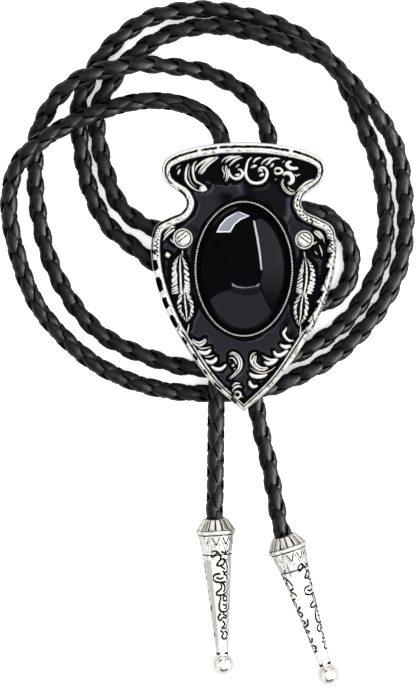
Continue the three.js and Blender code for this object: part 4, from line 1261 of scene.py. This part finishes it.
# Cards that show only in the stone. Columns: name, radiance, distance in metres, how low in the stone its light
# has faded away, and the outline that it has in the stone; the last two in millimetres from the stone's centre.
CARDS = [
    ("window", 8.2, 3.0, UNFADED, [
        (-5.95, 8.6), (-5.2, 10.0), (-3.95, 11.4), (-1.3, 13.0), (0.9, 12.1), (-0.9, 11.45), (-2.25, 10.3),
        (-3.3, 8.6)]),
    ("window_frame", 26.0, 3.1, UNFADED, [
        (-6.3, 8.3), (-5.4, 10.15), (-4.05, 11.65), (-1.3, 13.2), (1.3, 12.1), (-0.75, 11.2), (-2.05, 10.1),
        (-3.1, 8.35)]),
    ("strip", 15.0, 3.0, UNFADED, [
        (2.1, 11.0), (2.55, 10.9), (3.35, 7.0), (3.95, 3.0), (4.2, -0.3), (3.85, -0.3), (3.4, 3.5),
        (2.85, 7.0)]),
    ("right_wall", 0.62, 3.0, -8.5, [
        (2.75, 11.2), (3.6, 7.0), (4.3, 2.5), (4.35, -0.6), (3.7, -3.4), (5.4, -7.4), (6.1, -8.6),
        (7.0, -8.3), (7.9, -6.4), (8.6, -4.4), (9.0, -2.2), (9.15, 0), (9.0, 2.2), (8.6, 4.4), (7.9, 6.4),
        (7.0, 8.3), (5.9, 9.9), (4.8, 10.9), (3.8, 11.5)]),
    ("table", 0.5, 3.0, UNFADED, [
        (-7.8, -7.2), (-6.2, -5.8), (-4.6, -5.2), (-3.2, -5.0), (-2.7, -6.6), (-1.5, -7.6), (1.5, -7.6),
        (3.0, -6.6), (3.9, -5.0), (4.9, -7.2), (6.3, -9.8), (5.4, -10.9), (4.1, -12.2), (2.5, -13.2),
        (0.9, -13.6), (-0.9, -13.6), (-2.5, -13.2), (-4.1, -12.2), (-5.7, -10.7), (-6.8, -9.2)]),
    ("neck", 0.6, 3.0, -8.5, [
        (-3.1, -4.9), (-2.7, -3.9), (-1.6, -4.35), (0.5, -4.55), (2.4, -4.35), (3.6, -3.9), (3.8, -4.9),
        (2.9, -6.6), (1.5, -7.5), (-1.5, -7.5), (-2.6, -6.6)]),
    ("neck_edge", 7.0, 3.1, UNFADED, [
        (-2.75, -3.3), (-1.6, -4.05), (0.5, -4.3), (2.5, -4.05), (3.55, -3.3), (3.5, -3.95), (2.4, -4.45),
        (0.5, -4.65), (-1.6, -4.45), (-2.7, -3.95)]),
]


class StudioOperator(bpy.types.Operator):
    """Camera straight above the tie, pale floor, soft lights, and cards that the stone mirrors"""

    bl_idname = "bolo.studio"
    bl_label = "Studio"

    def execute(self, context):
        studio = context.scene.bolo_studio
        place_camera(studio)
        context.scene.view_settings.view_transform = "Standard"
        # The floor lies a hair below the cord
        bm = bmesh.new()
        bmesh.ops.create_grid(bm, x_segments=1, y_segments=1, size=3)
        bmesh.ops.translate(bm, verts=bm.verts, vec=(0, 0, -0.02 * MM))
        shown(bm, "floor", paper_floor())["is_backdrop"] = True
        light_world(studio.fill)

        # Each kind of surface has its own lights; a piece that isn't named here is cast silver
        kinds = {"onyx_cabochon": "stone", "enamel_floor": "enamel", "braided_leather_cord": "leather",
                 "tip_left_engraved": "tips", "tip_right_engraved": "tips"}
        groups = {kind: bpy.data.collections.new("lit_as_" + kind)
                  for kind in ("silver", "tips", "stone", "enamel", "leather")}
        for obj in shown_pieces():
            groups[kinds.get(obj.name, "silver")].objects.link(obj)
        for name, kind, at, size, radiance in LIGHTS:
            lamp(name, at, size, radiance, groups[kind])
        sight = np.array(context.scene.camera.location) / MM
        for name, radiance, distance, faded, corners in CARDS:
            card(name, radiance, distance, faded, corners, sight, groups["stone"])
        return {"FINISHED"}


def place_camera(studio):
    """Places a camera straight above the tie, so far up that a pixel covers the length set."""
    data = bpy.data.cameras.new("camera")
    data.lens = studio.lens
    data.sensor_width = 36.0
    data.clip_start, data.clip_end = 0.01, 10
    camera = bpy.data.objects.new("camera", data)
    camera.location = Vector(LOOKED_AT) * MM
    camera.location.z += PICTURE_HEIGHT * studio.pixel * studio.lens / data.sensor_width
    bpy.context.scene.collection.objects.link(camera)
    bpy.context.scene.camera = camera


def light_world(fill):
    """Lets matte surfaces see an even white world; what is mirrored of it is nearly black."""
    world = bpy.data.worlds.new("studio")
    bpy.context.scene.world = world
    world.use_nodes = True
    tree = world.node_tree
    tree.nodes.clear()
    up = node(tree, "SeparateXYZ", {0: node(tree, "TexCoord").outputs["Generated"]}).outputs["Z"]
    even, dim = (node(tree, "Background", {"Color": (1, 1, 1, 1), "Strength": strength}).outputs[0]
                 for strength in (fill, remap(tree, up, 0.0, 0.5, 0.05, 0.02)))
    mirrored = node(tree, "LightPath").outputs["Is Glossy Ray"]
    mix = node(tree, "MixShader", {0: mirrored, 1: even, 2: dim})
    node(tree, "OutputWorld", {"Surface": mix.outputs[0]})


def lamp(name, at, size, radiance, receivers):
    """Places a soft light that points at the tie, and lights only some pieces."""
    data = bpy.data.lights.new(name, "AREA")
    data.shape = "RECTANGLE"
    data.size, data.size_y = size
    data.energy = radiance * math.pi * size[0] * size[1]
    obj = bpy.data.objects.new(name, data)
    obj.location = at
    obj.rotation_euler = (Vector(AIM) - obj.location).to_track_quat("-Z", "Y").to_euler()
    obj.visible_camera = False
    obj.light_linking.receiver_collection = receivers
    bpy.context.scene.collection.objects.link(obj)


def card(name, radiance, distance, faded, corners, camera, receivers):
    """Places a glowing card where the stone mirrors it to the camera with that outline. Its light falls off
    over 9 mm of the stone, and leaves a little."""
    # Each side gets points on its way, because the dome bends it
    corners = np.array(corners)
    ahead = np.roll(corners, -1, axis=0)
    rim = np.concatenate([a + (b - a) * np.linspace(0, 1, 6, endpoint=False)[:, None]
                          for a, b in zip(corners, ahead)])
    a, b, h = STONE_WIDTH / 2, STONE_LENGTH / 2, STONE_HEIGHT - GIRDLE
    level = h * np.sqrt(1 - (rim[:, 0] / a) ** 2 - (rim[:, 1] / b) ** 2)
    at = np.column_stack([rim, level])
    normal = unit(at / (a * a, b * b, h * h))
    at = at + (*STONE_CENTRE, PLATE_TOP + GIRDLE)
    sight = unit(camera - at)
    mirrored = 2 * np.sum(normal * sight, axis=1, keepdims=True) * normal - sight
    bm = bmesh.new()
    glow = bm.verts.layers.float.new("glow")
    ring = [bm.verts.new(tuple(p * MM)) for p in at + mirrored * distance / MM]
    for vert, y in zip(ring, rim[:, 1]):
        vert[glow] = float(np.clip((y - faded) / 9, 0.12, 1))
    edges = [bm.edges.new((p, q)) for p, q in zip(ring, ring[1:] + ring[:1])]
    bmesh.ops.triangle_fill(bm, edges=edges, use_beauty=True)
    obj = shown(bm, name, glowing(name, radiance))
    obj.visible_camera = obj.visible_diffuse = obj.visible_shadow = False
    obj.light_linking.receiver_collection = receivers
    obj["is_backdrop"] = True


class BoloPanel(bpy.types.Panel):
    """Lists the settings and the pieces"""

    bl_idname = "VIEW3D_PT_bolo_tie"
    bl_label = "Bolo Tie"
    bl_space_type = "VIEW_3D"
    bl_region_type = "UI"
    bl_category = "Bolo Tie"

    def draw(self, context):
        for attribute, group in SETTINGS.items():
            box = self.layout.box()
            for name in group.__annotations__:
                box.prop(getattr(context.scene, attribute), name)
        for operator in OPERATORS:
            self.layout.operator(operator.bl_idname)


SETTINGS = {
    "bolo_studio": StudioSettings, "bolo_slide": SlideSettings, "bolo_cord": CordSettings,
    "bolo_tips": TipSettings,
}
OPERATORS = [
    TipOperator, CordOperator, SlideOperator, SettingOperator, StoneOperator, EnamelOperator, LeafOperator,
    FeatherOperator, RosetteOperator, ClaspOperator, StudioOperator,
]


def register():
    for group in SETTINGS.values():
        bpy.utils.register_class(group)
    for operator in OPERATORS:
        bpy.utils.register_class(operator)
    bpy.utils.register_class(BoloPanel)
    for attribute, group in SETTINGS.items():
        setattr(bpy.types.Scene, attribute, bpy.props.PointerProperty(type=group))


def unregister():
    for attribute in SETTINGS:
        delattr(bpy.types.Scene, attribute)
    bpy.utils.unregister_class(BoloPanel)
    for cls in [*OPERATORS, *SETTINGS.values()]:
        bpy.utils.unregister_class(cls)


def main():
    register()
    for operator in OPERATORS:
        group, name = operator.bl_idname.split(".")
        getattr(getattr(bpy.ops, group), name)()


if __name__ == "__main__":
    main()
